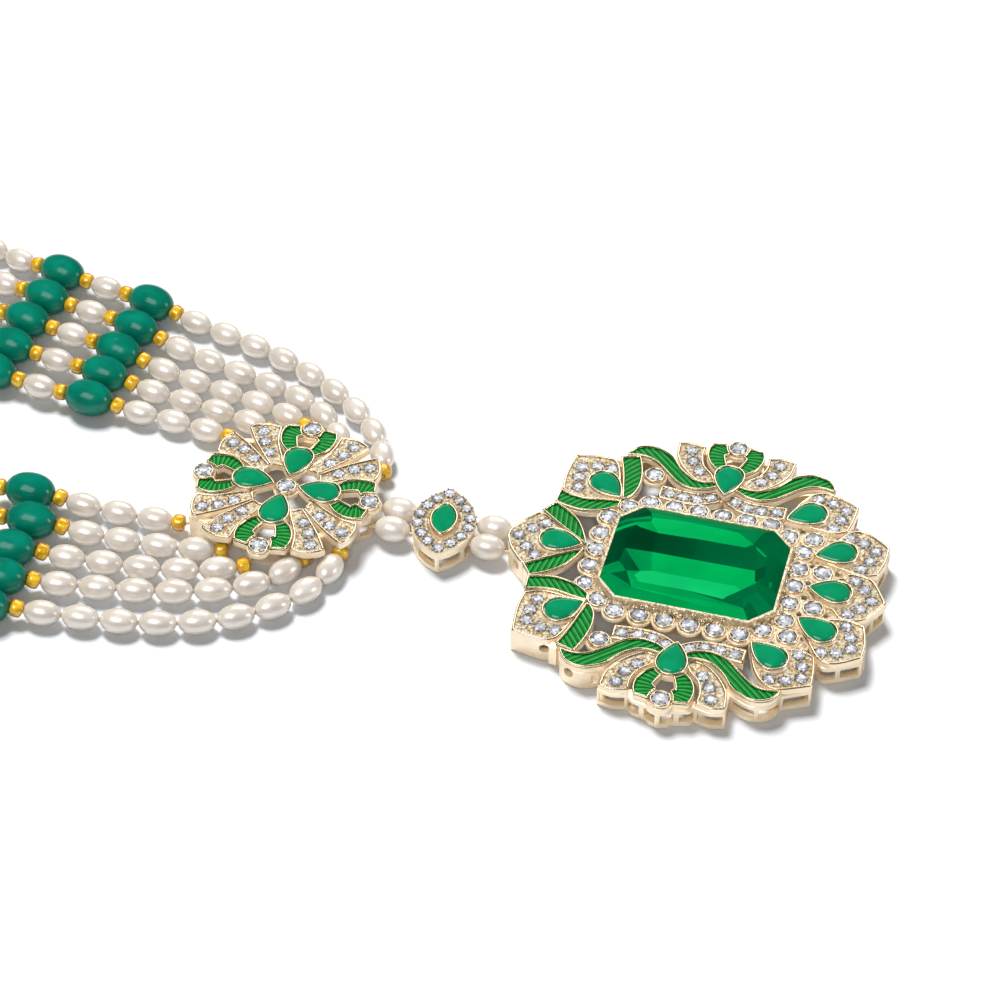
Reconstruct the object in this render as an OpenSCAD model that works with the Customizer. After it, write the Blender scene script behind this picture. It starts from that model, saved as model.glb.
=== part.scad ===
// Layered pearl and green bead necklace with a medallion, a leaf link and a
// gem-set pendant, lying flat on a table. Millimetres. The origin is on the
// table under the middle of the pendant's large stone, +X points along the
// pendant away from the strands, and +Z points up.

/* [Pendant] */
// Length of the large step-cut stone
stone_len = 27; // [24:0.5:28]
// Width of the large step-cut stone
stone_wid = 20; // [17:0.5:20.5]
// Corner cut of the large stone
stone_cut = 3.2; // [2.5:0.1:4]
// Height of the setting's rim round the large stone
setting_top = 5.6; // [5.2:0.1:6]
// Height of the pendant's top plate
plate_top = 4.2; // [4:0.1:4.5]
// Diameter of the round stones next to the large stone
halo_stone_d = 2.6; // [2:0.1:2.7]
// Diameter of the small stones on the petals
petal_stone_d = 1.9; // [1.5:0.1:2]

/* [Medallion] */
// Distance from the pendant's centre to the medallion's centre
medallion_x = 66.2; // [64:0.2:70]
// Height of the underside of the medallion's plate, over the strands
medallion_clear = 4.2; // [4.15:0.05:4.6]
// Height of the raised arms
medallion_top = 5.6; // [5.2:0.1:6.4]

/* [Leaf link] */
// Distance from the pendant's centre to the leaf link's centre
leaf_x = 40.3; // [39.5:0.1:41]
// Turn of the leaf link about the vertical
leaf_turn = 7; // [0:1:10]

/* [Strands] */
// Length of a pearl along its bore
pearl_len = 5.7; // [5:0.05:5.75]
// Diameter of a pearl
pearl_d = 4; // [3.4:0.1:4.1]
// Length of a green bead along its bore
green_len = 7.8; // [7:0.1:7.9]
// Diameter of a green bead
green_d = 6; // [5:0.1:6]
// Room that a gold glass bead takes on the thread
seed_len = 1.6; // [1.5:0.1:1.9]
// Bore of the beads
bore_d = 0.9; // [0.8:0.1:1]
// Diameter of the thread
thread_d = 0.5; // [0.4:0.05:0.6]
// Distance between strands at the back
back_pitch = 5.2; // [4.6:0.1:6]
// Radius of the loop at the back, at the middle strand
back_r = 55; // [50:1:65]

/* [Clasp] */
// Length of the clasp along the strands
clasp_len = 25.4; // [18:0.2:25.4]
// Height of the clasp
clasp_h = 4.6; // [4:0.1:6]

/* [Hidden] */
clear = 0.07;
thread_hole_d = 1.1;
wall_t = 1;
rim_h = 0.6;
rim_w = 0.4;
cup_w = 0.42;
gap = 0.3;
plate_t = 0.8;
seat_z = plate_top + 0.05;
flower_x = 0.95;

// Large stone from its keel to its table: height, half length, half width, corner
STONE_STEPS = [
    [0.9, 5.4, 1.0, 0.5],
    [2.7, 9.8, 5.8, 2.0],
    [4.5, 13.5, 10.0, 3.2],
    [5.2, 13.5, 10.0, 3.2],
    [6.1, 12.3, 8.8, 2.8],
    [6.8, 10.6, 7.1, 2.2]
];

// Round stones round the setting, upper half: x, y
HALO = [
    [-15.7, 0], [-15.8, 3.7], [-15.5, 7.6], [-12.9, 10.5],
    [-9.9, 12.2], [-6.0, 12.2], [-2.1, 12.2], [1.8, 12.2],
    [5.7, 12.2], [9.5, 12.2], [12.7, 10.4], [15.5, 7.6],
    [15.5, 3.8], [15.5, 0], [16.6, 10.8], [19.2, 3.9]
];

// Single round stones further out: x, y
OUTER_STONES = [[-10.7, 18.7], [flower_x, 28.1]];

// Small stones of the petals, upper half: x, y
PETAL_STONES = [
    [-28.1, 0], [-26.4, 2.1], [-24.7, 3.6],
    [-21.8, 12.9], [-22.3, 15.2], [-22.3, 17.5], [-19.9, 18.4], [-17.6, 18.5],
    [15.6, 20.0], [18.0, 19.6], [20.2, 18.5], [19.9, 16.2], [19.0, 14.0],
    [22.0, 12.6], [24.3, 12.1], [26.3, 10.7], [25.8, 8.4], [24.8, 6.3],
    [24.5, 3.6], [26.1, 2.1], [27.5, 0]
];

// Drop-shaped stones, upper half: x, y, direction of the tip
DROPS = [
    [flower_x, 20.0, -90], [-17.3, 14.0, -39], [14.5, 15.5, 212],
    [20.5, 8.3, 204], [-21.4, 0, 0], [21.1, 0, 180]
];
drop_len = 6.1;
drop_wid = 4.1;

// Petal plates, upper half: corner points
PETAL_TOP_LEFT = [
    [-14.4, 11.7], [-15.4, 15.5], [-16.4, 19.0], [-17.4, 20.8], [-19.6, 20.9],
    [-24.0, 20.0], [-24.3, 15.0], [-24.2, 11.8], [-21.8, 10.7], [-19.4, 10.6]
];
PETAL_RIGHT_1 = [
    [11.2, 13.6], [12.2, 16.2], [13.2, 18.6], [14.6, 20.8], [16.3, 21.8],
    [17.8, 21.9], [22.0, 19.7], [21.8, 16.5], [21.4, 13.9], [19.4, 12.9], [16.5, 13.2]
];
PETAL_RIGHT_2 = [
    [17.1, 6.7], [18.3, 9.2], [20.0, 11.3], [21.0, 13.6], [23.5, 14.7],
    [28.2, 12.1], [28.4, 10.0], [27.5, 5.6], [25.0, 4.8], [21.0, 5.7]
];
PETAL_RIGHT_AXIS = [
    [17.5, 0], [19.5, 2.4], [22.0, 3.5], [23.2, 4.9], [25.5, 5.1], [27.4, 3.9], [29.6, 0.7]
];
PETAL_LEFT_AXIS = [
    [-17.6, 0], [-20.3, 2.5], [-22.9, 4.2], [-25.8, 5.9], [-27.5, 4.6], [-29.0, 2.6], [-29.8, 0.8]
];

// Enamelled leaves, upper half: corner points
LEAF_A = [
    [-24.3, 11.6], [-22.4, 10.9], [-19.8, 10.6], [-17.0, 11.1], [-14.3, 11.6],
    [-14.5, 9.9], [-17.0, 8.3], [-20.0, 7.6], [-22.5, 7.9], [-24.5, 8.5]
];
LEAF_B = [
    [-24.3, 8.5], [-21.8, 7.1], [-19.7, 5.2], [-18.2, 2.6], [-17.4, 0.4],
    [-20.4, 2.2], [-23.2, 4.1], [-26.0, 6.2]
];
LEAF_C = [
    [-16.9, 21.3], [-15.8, 18.0], [-15.1, 15.0], [-14.4, 11.8], [-13.7, 12.0],
    [-12.6, 13.8], [-12.3, 16.5], [-12.8, 19.5], [-13.8, 22.3]
];
LEAF_S = [
    [-0.9, 19.5], [-2.6, 19.1], [-4.6, 19.4], [-6.8, 21.0], [-8.6, 23.4], [-10.3, 24.5],
    [-12.2, 25.1], [-14.4, 24.5], [-15.6, 23.2], [-15.9, 22.0], [-13.4, 22.3], [-11.3, 21.6],
    [-9.3, 19.9], [-7.2, 17.9], [-4.8, 16.9], [-2.4, 17.2], [-0.5, 18.2]
];
LEAF_FAN = [
    [-1.5, 21.8], [-3.1, 23.7], [-3.7, 26.0], [-3.3, 28.4], [-1.4, 28.9],
    [-0.9, 27.4], [0.2, 26.5], [-0.8, 25.8], [-0.7, 24.6], [0.1, 23.4]
];

// Plates under the rows of small stones, upper half: corner points
ROW_PLATE = [
    [-9.3, 17.4], [-9.3, 14.5], [-5.5, 14.2], [-2.2, 14.4], [0.4, 15.7],
    [0.9, 16.6], [-0.6, 17.9], [-3.0, 17.2], [-6.6, 17.2]
];
ARC_PLATE = [
    [-8.7, 27.5], [-6.5, 28.0], [-4.1, 27.4], [-4.2, 25.4], [-3.5, 23.2], [-1.9, 21.5],
    [-0.9, 19.6], [-2.8, 18.9], [-4.8, 19.8], [-6.8, 21.7], [-8.3, 24.2]
];

// Web between the halo and the petals on the right, the bridge to the single
// stone on the left, the bar under a row and the small round holes
RIGHT_WEB = [
    [11.0, 11.8], [13.2, 13.5], [16.5, 13.6], [20.0, 12.2], [19.5, 9.6], [18.0, 7.0],
    [21.0, 5.9], [24.0, 4.9], [21.5, 3.0], [18.0, 0], [15.5, 0]
];
LEFT_BRIDGE = [[-13.2, 19.2], [-12.8, 18.2], [-9.0, 18.2], [-9.4, 20.2]];
ROW_BAR = [[-6.6, 12.6], [-5.2, 12.6], [-5.2, 15.0], [-6.6, 15.0]];
SMALL_HOLES = [[17.4, 1.6], [17.3, 5.3], [18.9, 10.3], [14.5, 12.4], [21.3, 4.6]];

// Round holes in the solid side wall: x, y, direction
SIDE_HOLES = [[-19.6, 21, 82], [-12.5, 25, 95], [-25.3, 7.2, 150]];

// Outline of the pendant, upper half from the left tip to the right tip
OUTLINE = concat(
    [[-29.9, 0.8], [-29.0, 2.7], [-27.5, 4.6], [-26.1, 5.8], [-24.6, 8.5], [-24.4, 12.0],
     [-24.1, 20.1], [-19.6, 21.0], [-17.4, 21.0], [-16.0, 22.0], [-15.6, 23.4], [-14.4, 24.6],
     [-12.2, 25.2], [-10.3, 24.7], [-8.7, 23.8]],
    [[-8.8, 27.6], [-6.5, 28.1], [-4.2, 27.6], [-3.4, 28.5], [-1.2, 29.0], [-0.5, 29.6]],
    [[0.1, 30.0], [1.8, 30.0], [2.4, 29.6], [3.1, 29.0], [5.3, 28.5], [6.1, 27.6],
     [8.4, 28.1], [10.7, 27.6], [10.6, 23.8]],
    [[12.2, 24.7], [14.1, 25.2], [16.3, 24.6], [17.5, 23.4], [17.9, 22.0], [22.1, 19.8],
     [21.8, 16.5], [21.7, 14.0], [23.5, 14.8], [28.3, 12.2], [28.5, 10.0], [27.6, 5.6],
     [27.6, 4.0], [29.7, 0.7]]
);

// Medallion, one quarter, from its own centre: corner points and stone places
ARM_FAN = [
    [7.0, 1.9], [8.6, 3.7], [11.2, 4.4], [13.5, 3.9], [13.9, 1.7],
    [12.4, 1.4], [11.8, 0.8], [10.7, 1.7], [8.6, 0.8]
];
MEDALLION_ROW = [
    [3.4, 4.6], [4.5, 4.5], [6.6, 5.8], [8.3, 7.9], [9.3, 10.6], [9.6, 13.0],
    [5.4, 13.7], [5.1, 10.8], [4.3, 8.2]
];
MEDALLION_WALL = [
    [14.6, 0], [14.6, 2.4], [12.4, 4.4], [12.0, 6.8], [9.4, 7.6], [7.6, 9.4], [4.2, 9.8],
    [2.4, 12.4], [0, 12.6], [-2.4, 12.4], [-4.2, 10.4], [-7.6, 10.4], [-9.6, 10.2],
    [-13.1, 9.4], [-13.2, 4.6], [-14.6, 2.4], [-14.6, 0]
];
arm_drop_mid = 5.5;
arm_stone = 13.8;

// Seats of the leaf link's small stones, one side: across, along
LEAF_STONES = [[0, 6.2], [1.8, 4.8], [3.1, 3.15], [4.0, 1.05], [4.0, -1.05], [3.1, -3.15], [1.8, -4.8]];

// Link pearls: x, and where the link threads start and end
LINK_X = [-48.1, -32.6];
LINK_THREAD_X = [-54, -28.8];
link_pearl_len = 5.1;
link_pearl_d = 4.7;
link_y = 2.4;
link_z = 2.6;

// Strands from the medallion outwards, outermost first: pearls before the
// first green bead, the hole in the medallion's wall, then the points that the
// strand follows
UPPER = [
    [9, [-55.3, 6.6], [[-53.2, 9.6], [-54.8, 15.2], [-59.0, 21], [-67, 27.3], [-78, 32.8],
         [-90, 36.4], [-105, 40], [-118, 42.6], [-132, 46]]],
    [7, [-60.6, 9.1], [[-60.8, 12.2], [-62.9, 17.2], [-67, 21.5], [-73, 24.5], [-80, 26.5],
         [-89, 28.7], [-105, 33.2], [-116, 35.4], [-130, 38.6]]],
    [5, [-67.4, 12], [[-68.0, 17.3], [-72.6, 19.7], [-78, 21], [-90, 23.3], [-105, 26.7],
         [-115, 28.7], [-130, 31.8]]],
    [4, [-72.4, 9.9], [[-73.2, 15], [-78, 16.4], [-84, 17.4], [-95, 19], [-105, 20.4],
         [-115, 21.8], [-130, 25]]],
    [3, [-77.6, 9.3], [[-79.2, 11.9], [-84, 12.5], [-95, 13.6], [-105, 13.9], [-114, 14.6],
         [-122, 16.2], [-132, 19]]]
];
LOWER = [
    [9, [-55.3, -6.6], [[-54.6, -7.9], [-54.9, -13.4], [-57.6, -19], [-62.6, -24.2], [-70.6, -28.8],
         [-82, -31.8], [-97, -33.6], [-110, -36.4], [-124, -40.2]]],
    [7, [-60, -9], [[-59.4, -10.6], [-61.6, -15.4], [-66, -19.3], [-72.4, -22.4], [-82, -24.9],
         [-97, -27.2], [-110, -29.9], [-124, -33.4]]],
    [5, [-67.2, -12], [[-67.4, -15.2], [-72, -17.4], [-78, -19.2], [-88, -20.5], [-99, -21.3],
         [-110, -23.3], [-124, -26.7]]],
    [4, [-71.4, -9.9], [[-71.8, -12.8], [-77, -14.2], [-84, -14.9], [-94, -15.2], [-104, -15.4],
         [-114, -16.9], [-126, -20.4]]],
    [3, [-78.9, -8.4], [[-80.2, -9], [-86, -9.4], [-95, -9.4], [-105, -9.1], [-113, -10],
         [-124, -12.4]]]
];
back_centre = [-222, 13];
BACK_ANGLES = [62, 90, 118, 146, 172, 180];

// Heights of the thread in a pearl and in a green bead that lie on the table
pearl_low = pearl_d / 2 + 0.05;
green_low = green_d / 2 + 0.05;

gold = [0.93, 0.83, 0.65];
leaf_green = [0.06, 0.45, 0.15];
drop_green = [0.0, 0.62, 0.42];
emerald = [0.0, 0.55, 0.22];
clear_stone = [0.88, 0.9, 0.93];
pearl_white = [0.93, 0.9, 0.87];
bead_green = [0.03, 0.45, 0.35];
thread_gold = [0.85, 0.75, 0.5];

// Points mirrored to the lower half, keeping the direction round the shape
function flip_y(pts) = [for (i = [len(pts) - 1 : -1 : 0]) [pts[i][0], -pts[i][1]]];

// Places on the axis and above it, with the ones above it repeated below
function both_halves(pts) = concat(pts, [for (p = pts) if (p[1] > 0.01) [p[0], -p[1]]]);

// Corners of a rectangle with cut corners
function cut_rect(a, b, c) = [
    [a, b - c], [a - c, b], [c - a, b], [-a, b - c],
    [-a, c - b], [c - a, -b], [a - c, -b], [a, c - b]
];

// Outline of a drop with its tip along +X, middle at the origin
function drop_points(length, width, n = 28) = [
    for (i = [0 : n - 1])
        let (t = 360 * i / n, s = sin(t) * pow(abs(sin(t / 2)), 0.85) / 0.772)
        [length / 2 * cos(t), width / 2 * s]
];

// Stacked rings joined into one closed solid
module stacked(rings) {
    m = len(rings[0]);
    n = len(rings);
    polyhedron(
        points = [for (r = rings) each r],
        faces = concat(
            [[for (j = [m - 1 : -1 : 0]) j]],
            [for (i = [0 : n - 2], j = [0 : m - 1])
                [i * m + j, i * m + (j + 1) % m, (i + 1) * m + (j + 1) % m, (i + 1) * m + j]],
            [[for (j = [0 : m - 1]) (n - 1) * m + j]]
        )
    );
}

// Children in both halves
module both() {
    children();
    mirror([0, 1, 0]) children();
}

// Children left and right of the flower's axis
module flower_pair() {
    children();
    translate([2 * flower_x, 0, 0]) mirror([1, 0, 0]) children();
}

// Small round stone: girdle, eight crown facets and a table
module round_stone(d) {
    function ring(r, z) = [for (a = [22.5 : 45 : 350]) [r * cos(a), r * sin(a), z]];
    r = d / 2;
    stacked([ring(r * 0.8, 0), ring(r, 0.25), ring(r, 0.45), ring(r * 0.58, 0.8)]);
}

// Round cups at the places of stones, and the holes in them
module cups_2d(places, d) {
    for (p = places) translate(p) circle(d = d + 2 * cup_w + 2 * clear);
}

module cup_holes_2d(places, d) {
    for (p = places) translate(p) circle(d = d + 2 * clear);
}

// Dome of a drop-shaped stone, standing on z = 0
module drop_stone(length, width, height) {
    dome_r = (length * length / 4 + height * height * 0.4) / (height * 0.9);
    intersection() {
        linear_extrude(height) polygon(drop_points(length, width));
        translate([-0.4, 0, height - dome_r]) sphere(dome_r, $fn = 96);
    }
}

// Flat shapes of one drop's rim, its seat, and what other rims leave free for it
module drop_rim_2d() {
    polygon(drop_points(drop_len + 1.5, drop_wid + 1.1));
}

module drop_seat_2d() {
    polygon(drop_points(drop_len + 2 * clear + 0.1, drop_wid + 2 * clear));
}

module drop_room_2d() {
    polygon(drop_points(drop_len + 1.7, drop_wid + 1.3));
}

module at_drops() {
    for (d = DROPS) {
        translate([d[0], d[1], 0]) rotate(d[2]) children();
        if (d[1] > 0) translate([d[0], -d[1], 0]) rotate(-d[2]) children();
    }
}

// All shapes on the main level of the pendant's top plate
module pendant_plate_2d() {
    polygon(cut_rect(15.5, 12.2, 5));
    for (p = both_halves(HALO)) translate(p) circle(d = halo_stone_d + 1.1);
    for (p = both_halves(OUTER_STONES)) translate(p) circle(d = halo_stone_d + 1.3);
    polygon(concat(PETAL_LEFT_AXIS, flip_y(PETAL_LEFT_AXIS)));
    polygon(concat(PETAL_RIGHT_AXIS, flip_y(PETAL_RIGHT_AXIS)));
    both() {
        polygon(PETAL_TOP_LEFT);
        polygon(PETAL_RIGHT_1);
        polygon(PETAL_RIGHT_2);
        polygon(LEAF_A);
        polygon(LEAF_B);
        polygon(LEAF_C);
        polygon(RIGHT_WEB);
        polygon(LEFT_BRIDGE);
        flower_pair() {
            polygon(LEAF_S);
            polygon(LEAF_FAN);
            polygon(ARC_PLATE);
        }
    }
    at_drops() drop_rim_2d();
}

// Enamelled shapes, each a little inside its leaf
module enamel_2d(inset) {
    both() {
        for (leaf = [LEAF_A, LEAF_B, LEAF_C]) offset(delta = -inset) polygon(leaf);
        flower_pair() {
            offset(delta = -inset) polygon(LEAF_S);
            offset(delta = -inset) polygon(LEAF_FAN);
        }
    }
}

module leaves_2d() {
    both() {
        for (leaf = [LEAF_A, LEAF_B, LEAF_C]) polygon(leaf);
        flower_pair() {
            polygon(LEAF_S);
            polygon(LEAF_FAN);
        }
    }
}

// Raised rims round leaves, drops and stones
module pendant_rims_2d() {
    singles = both_halves(OUTER_STONES);
    round = concat(both_halves(HALO), singles);
    small = both_halves(PETAL_STONES);
    difference() {
        union() {
            difference() {
                leaves_2d();
                enamel_2d(rim_w);
            }
            at_drops() drop_rim_2d();
            cups_2d(round, halo_stone_d);
            cups_2d(small, petal_stone_d);
        }
        at_drops() drop_seat_2d();
        cup_holes_2d(round, halo_stone_d);
        cup_holes_2d(small, petal_stone_d);
    }
}

// Side wall under the pendant's edge
module pendant_wall_2d() {
    edge = concat(OUTLINE, flip_y(OUTLINE));
    difference() {
        offset(delta = -0.2) polygon(edge);
        offset(delta = -0.2 - wall_t) polygon(edge);
    }
}

// Windows through the wall, one on each long enough edge away from the left
// end, and round holes for spare threads and for the link threads
module pendant_windows() {
    edge = concat(OUTLINE, flip_y(OUTLINE));
    n = len(edge);
    post_t = 1.1;
    window_h = 2.1;
    window_z = 1.95;
    for (i = [0 : n - 1]) {
        a = edge[i];
        b = edge[(i + 1) % n];
        mid = (a + b) / 2;
        reach = norm(b - a);
        if (reach > post_t + 0.8 && mid[0] > -9.5)
            translate([mid[0], mid[1], window_z]) rotate(atan2(b[1] - a[1], b[0] - a[0]))
                cube([reach - post_t, 3.4, window_h], center = true);
    }
    both() for (h = SIDE_HOLES)
        translate([h[0], h[1], window_z]) rotate(h[2]) rotate([0, 90, 0])
            cylinder(d = 1.5, h = 5, center = true, $fn = 32);
    for (y = [-link_y, link_y]) translate([-28, y, link_z]) rotate([0, 90, 0])
        cylinder(d = thread_hole_d, h = 6, center = true, $fn = 32);
}

module pendant_frame() color(gold) {
    difference() {
        union() {
            linear_extrude(3.5) pendant_wall_2d();
            translate([0, 0, plate_top - plate_t]) linear_extrude(plate_t) difference() {
                pendant_plate_2d();
                both() for (p = SMALL_HOLES) translate(p) circle(d = 0.9);
            }
            translate([0, 0, plate_top - 0.05]) linear_extrude(rim_h + 0.05) pendant_rims_2d();
            translate([0, 0, plate_top - 1.6]) linear_extrude(plate_t + 0.2) both() flower_pair() {
                polygon(ROW_PLATE);
                polygon(ROW_BAR);
            }
            linear_extrude(setting_top)
                polygon(cut_rect(stone_len / 2 + 0.6, stone_wid / 2 + 0.6, stone_cut + 0.4));
        }
        translate([0, 0, 0.8]) linear_extrude(setting_top)
            polygon(cut_rect(stone_len / 2 + 0.1, stone_wid / 2 + 0.1, stone_cut));
        pendant_windows();
    }
}

module large_stone() color(emerald)
    stacked([for (s = STONE_STEPS)
        [for (p = cut_rect(
            s[1] * stone_len / 27,
            s[2] * stone_wid / 20,
            s[3] * stone_cut / 3.2)) [p[0], p[1], s[0]]]]);

module halo_stones() color(clear_stone)
    for (p = concat(both_halves(HALO), both_halves(OUTER_STONES)))
        translate([p[0], p[1], seat_z]) round_stone(halo_stone_d);

module petal_stones() color(clear_stone)
    for (p = both_halves(PETAL_STONES)) translate([p[0], p[1], seat_z]) round_stone(petal_stone_d);

module pendant_enamel() color(leaf_green)
    translate([0, 0, seat_z]) linear_extrude(0.4) difference() {
        enamel_2d(rim_w + clear);
        at_drops() drop_room_2d();
        for (p = both_halves(OUTER_STONES)) translate(p) circle(d = halo_stone_d + 1.3);
    }

// One drop-shaped stone of the pendant: row of DROPS and side
module pendant_drop(row, side) color(drop_green)
    translate([DROPS[row][0], side * DROPS[row][1], seat_z]) rotate(side * DROPS[row][2])
        drop_stone(drop_len, drop_wid, 1.25);

// Four turned copies of one arm of the medallion
module arms() {
    for (a = [0 : 90 : 270]) rotate(a) children();
}

module medallion_place() {
    translate([-medallion_x, 0, 0]) children();
}

module arm_outline_2d() {
    translate([arm_drop_mid, 0]) rotate(180) drop_rim_2d();
    translate([arm_stone, 0]) circle(d = halo_stone_d + 1.2);
    both() polygon(ARM_FAN);
}

// Raised rims of the medallion's arms
module arm_rims_2d() {
    difference() {
        union() {
            cups_2d([[0, 0]], halo_stone_d);
            arms() {
                cups_2d([[arm_stone, 0]], halo_stone_d);
                translate([arm_drop_mid, 0]) rotate(180) drop_rim_2d();
                both() difference() {
                    polygon(ARM_FAN);
                    offset(delta = -rim_w) polygon(ARM_FAN);
                }
            }
        }
        cup_holes_2d([[0, 0]], halo_stone_d);
        arms() {
            cup_holes_2d([[arm_stone, 0]], halo_stone_d);
            translate([arm_drop_mid, 0]) rotate(180) drop_seat_2d();
        }
    }
}

module medallion_frame() color(gold) medallion_place() {
    floor_z = medallion_top - rim_h;
    difference() {
        union() {
            linear_extrude(medallion_clear + 0.1) difference() {
                polygon(concat(MEDALLION_WALL, flip_y(MEDALLION_WALL)));
                offset(delta = -wall_t) polygon(concat(MEDALLION_WALL, flip_y(MEDALLION_WALL)));
            }
            translate([0, 0, medallion_clear]) linear_extrude(0.55) arms() {
                polygon(MEDALLION_ROW);
                mirror([0, 1, 0]) polygon(MEDALLION_ROW);
            }
            translate([0, 0, medallion_clear]) linear_extrude(floor_z - medallion_clear) {
                circle(d = halo_stone_d + 1.6);
                arms() arm_outline_2d();
            }
            translate([0, 0, floor_z - 0.05]) linear_extrude(rim_h + 0.05) arm_rims_2d();
        }
        for (y = [-link_y, link_y]) translate([13.5, y, link_z]) rotate([0, 90, 0])
            cylinder(d = thread_hole_d, h = 5, center = true, $fn = 32);
        for (strand = concat(UPPER, LOWER)) {
            way_in = strand[1] - strand[2][0];
            translate([strand[1][0] + medallion_x, strand[1][1], pearl_low])
                rotate(atan2(way_in[1], way_in[0])) rotate([0, 90, 0])
                    cylinder(d = thread_hole_d, h = 3.4, center = true, $fn = 32);
        }
    }
}

module medallion_stones() color(clear_stone) medallion_place()
    translate([0, 0, medallion_top - rim_h + 0.05]) {
        round_stone(halo_stone_d);
        arms() translate([arm_stone, 0, 0]) round_stone(halo_stone_d);
    }

module medallion_enamel() color(leaf_green) medallion_place()
    translate([0, 0, medallion_top - rim_h + 0.05]) linear_extrude(0.4) arms() difference() {
        both() offset(delta = -rim_w - clear) polygon(ARM_FAN);
        translate([arm_drop_mid, 0]) rotate(180) drop_room_2d();
        translate([arm_stone, 0]) circle(d = halo_stone_d + 1.3);
    }

module medallion_drop(turn) color(drop_green) medallion_place()
    rotate(turn) translate([arm_drop_mid, 0, medallion_top - rim_h + 0.05]) rotate(180)
        drop_stone(drop_len, drop_wid, 1.25);

// Leaf shape from two arcs, long axis along Y
module marquise_2d(half_width, half_length) {
    r = (half_width * half_width + half_length * half_length) / (2 * half_width);
    intersection() {
        translate([half_width - r, 0]) circle(r, $fn = 64);
        translate([r - half_width, 0]) circle(r, $fn = 64);
    }
}

module leaf_place() {
    translate([-leaf_x, 0, 0]) rotate(leaf_turn) children();
}

module leaf_frame() color(gold) leaf_place() {
    difference() {
        union() {
            linear_extrude(3.6) difference() {
                marquise_2d(4.9, 7.3);
                marquise_2d(3.9, 5.9);
            }
            translate([0, 0, 3.4]) linear_extrude(0.9) difference() {
                marquise_2d(5.0, 7.4);
                marquise_2d(2.6, 4.2);
            }
            translate([0, 0, 3.0]) linear_extrude(2.0) difference() {
                marquise_2d(2.3, 3.9);
                marquise_2d(1.85, 3.2);
            }
            translate([0, 0, 3.0]) linear_extrude(0.8) {
                marquise_2d(2.3, 3.9);
                square([6.6, 0.9], center = true);
                square([0.9, 10.6], center = true);
            }
        }
        for (s = LEAF_STONES, x = s[0] == 0 ? [1] : [-1, 1], y = s[0] == 0 ? [-1, 1] : [1])
            translate([x * s[0], y * s[1], 4.05]) cylinder(d = 1.5, h = 1, $fn = 24);
        for (y = [-1, 1], x = [-1, 1]) translate([x * 2.4, y * 5.4, 1.7]) rotate(-x * y * 38)
            cube([3, 4, 1.8], center = true);
        for (y = [-link_y, link_y]) rotate(-leaf_turn) translate([0, y, link_z]) rotate([0, 90, 0])
            cylinder(d = thread_hole_d, h = 12, center = true, $fn = 32);
    }
}

module leaf_stone() color(drop_green) leaf_place() translate([0, 0, 3.85])
    intersection() {
        linear_extrude(1.5) marquise_2d(1.78, 3.12);
        translate([0, 0, -3.2]) sphere(4.7, $fn = 96);
    }

// Bead with rounded sides and a bore along X
module bead(length, width, bulge_r) rotate([0, 90, 0])
    rotate_extrude($fn = 48) polygon(concat(
        [for (i = [0 : 12]) let (z = -length / 2 * cos(15 * i))
            [width / 2 - bulge_r + sqrt(bulge_r * bulge_r - z * z), z]],
        [[bore_d / 2, length / 2], [bore_d / 2, -length / 2]]
    ));

module pearl() bead(pearl_len, pearl_d, 3.5);

module green_bead() bead(green_len, green_d, 4.6);

module link_pearl(i) color(pearl_white)
    translate([LINK_X[i < 2 ? 0 : 1], (i % 2 == 0 ? 1 : -1) * link_y, link_z])
        bead(link_pearl_len, link_pearl_d, 3);

module link_threads() color(thread_gold)
    for (y = [-link_y, link_y]) translate([LINK_THREAD_X[0], y, link_z]) rotate([0, 90, 0])
        cylinder(d = thread_d, h = LINK_THREAD_X[1] - LINK_THREAD_X[0], $fn = 24);

// Smooth curve through points, as a list of close points
function curve(p, steps = 6) = concat([for (i = [0 : len(p) - 2], k = [0 : steps - 1])
    let (
        a = p[max(i - 1, 0)],
        b = p[i],
        c = p[i + 1],
        d = p[min(i + 2, len(p) - 1)],
        t = k / steps
    )
    0.5 * (2 * b + (c - a) * t + (2 * a - 5 * b + 4 * c - d) * t * t
        + (3 * b - a - 3 * c + d) * t * t * t)],
    [p[len(p) - 1]]);

// Distance along a list of points up to each of them
function lengths(p, i = 0, sum = 0, out = []) = i == len(p) ? out
    : let (next = i == 0 ? 0 : sum + norm(p[i] - p[i - 1]))
      lengths(p, i + 1, next, concat(out, [next]));

// Point at a distance along a list of points
function walk(p, along, s, i = 1) = i == len(p) - 1 || along[i] >= s
    ? p[i - 1] + (p[i] - p[i - 1]) * (s - along[i - 1]) / (along[i] - along[i - 1])
    : walk(p, along, s, i + 1);

// The whole way of strand k of a bundle, with its curve round the back
function way(bundle, side, k) =
    let (
        front = bundle[k][2],
        r = back_r + (2 - k) * back_pitch,
        back = [for (a = BACK_ANGLES)
            [back_centre[0] + r * cos(a), side * (back_centre[1] + r * sin(a))]],
        last = front[len(front) - 1]
    )
    curve(concat(front, [for (part = [0.22, 0.55]) last + (back[0] - last) * part], back));

// What is threaded on a strand's front, after its first pearls: room on the
// thread and height of the thread where it ends
function front_tail() = [
    [seed_len, green_low], [green_len, green_low], [seed_len, green_low - 0.15],
    [pearl_len, green_low - 0.15], [seed_len, green_low], [green_len, green_low],
    [seed_len, pearl_low + 0.35], [pearl_len, pearl_low]
];

// Joints between the beads of a front with n first pearls: distance, height
function joints(n) =
    let (
        head = concat(
            [[seed_len, pearl_low]],
            [for (i = [1 : n]) [pearl_len, i == n ? pearl_low + 0.2 : pearl_low]]
        ),
        items = concat(head, front_tail()),
        ends = totals([for (t = items) t[0] + gap])
    )
    concat([[0, pearl_low]], [for (i = [0 : len(items) - 1]) [ends[i], items[i][1]]]);

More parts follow.
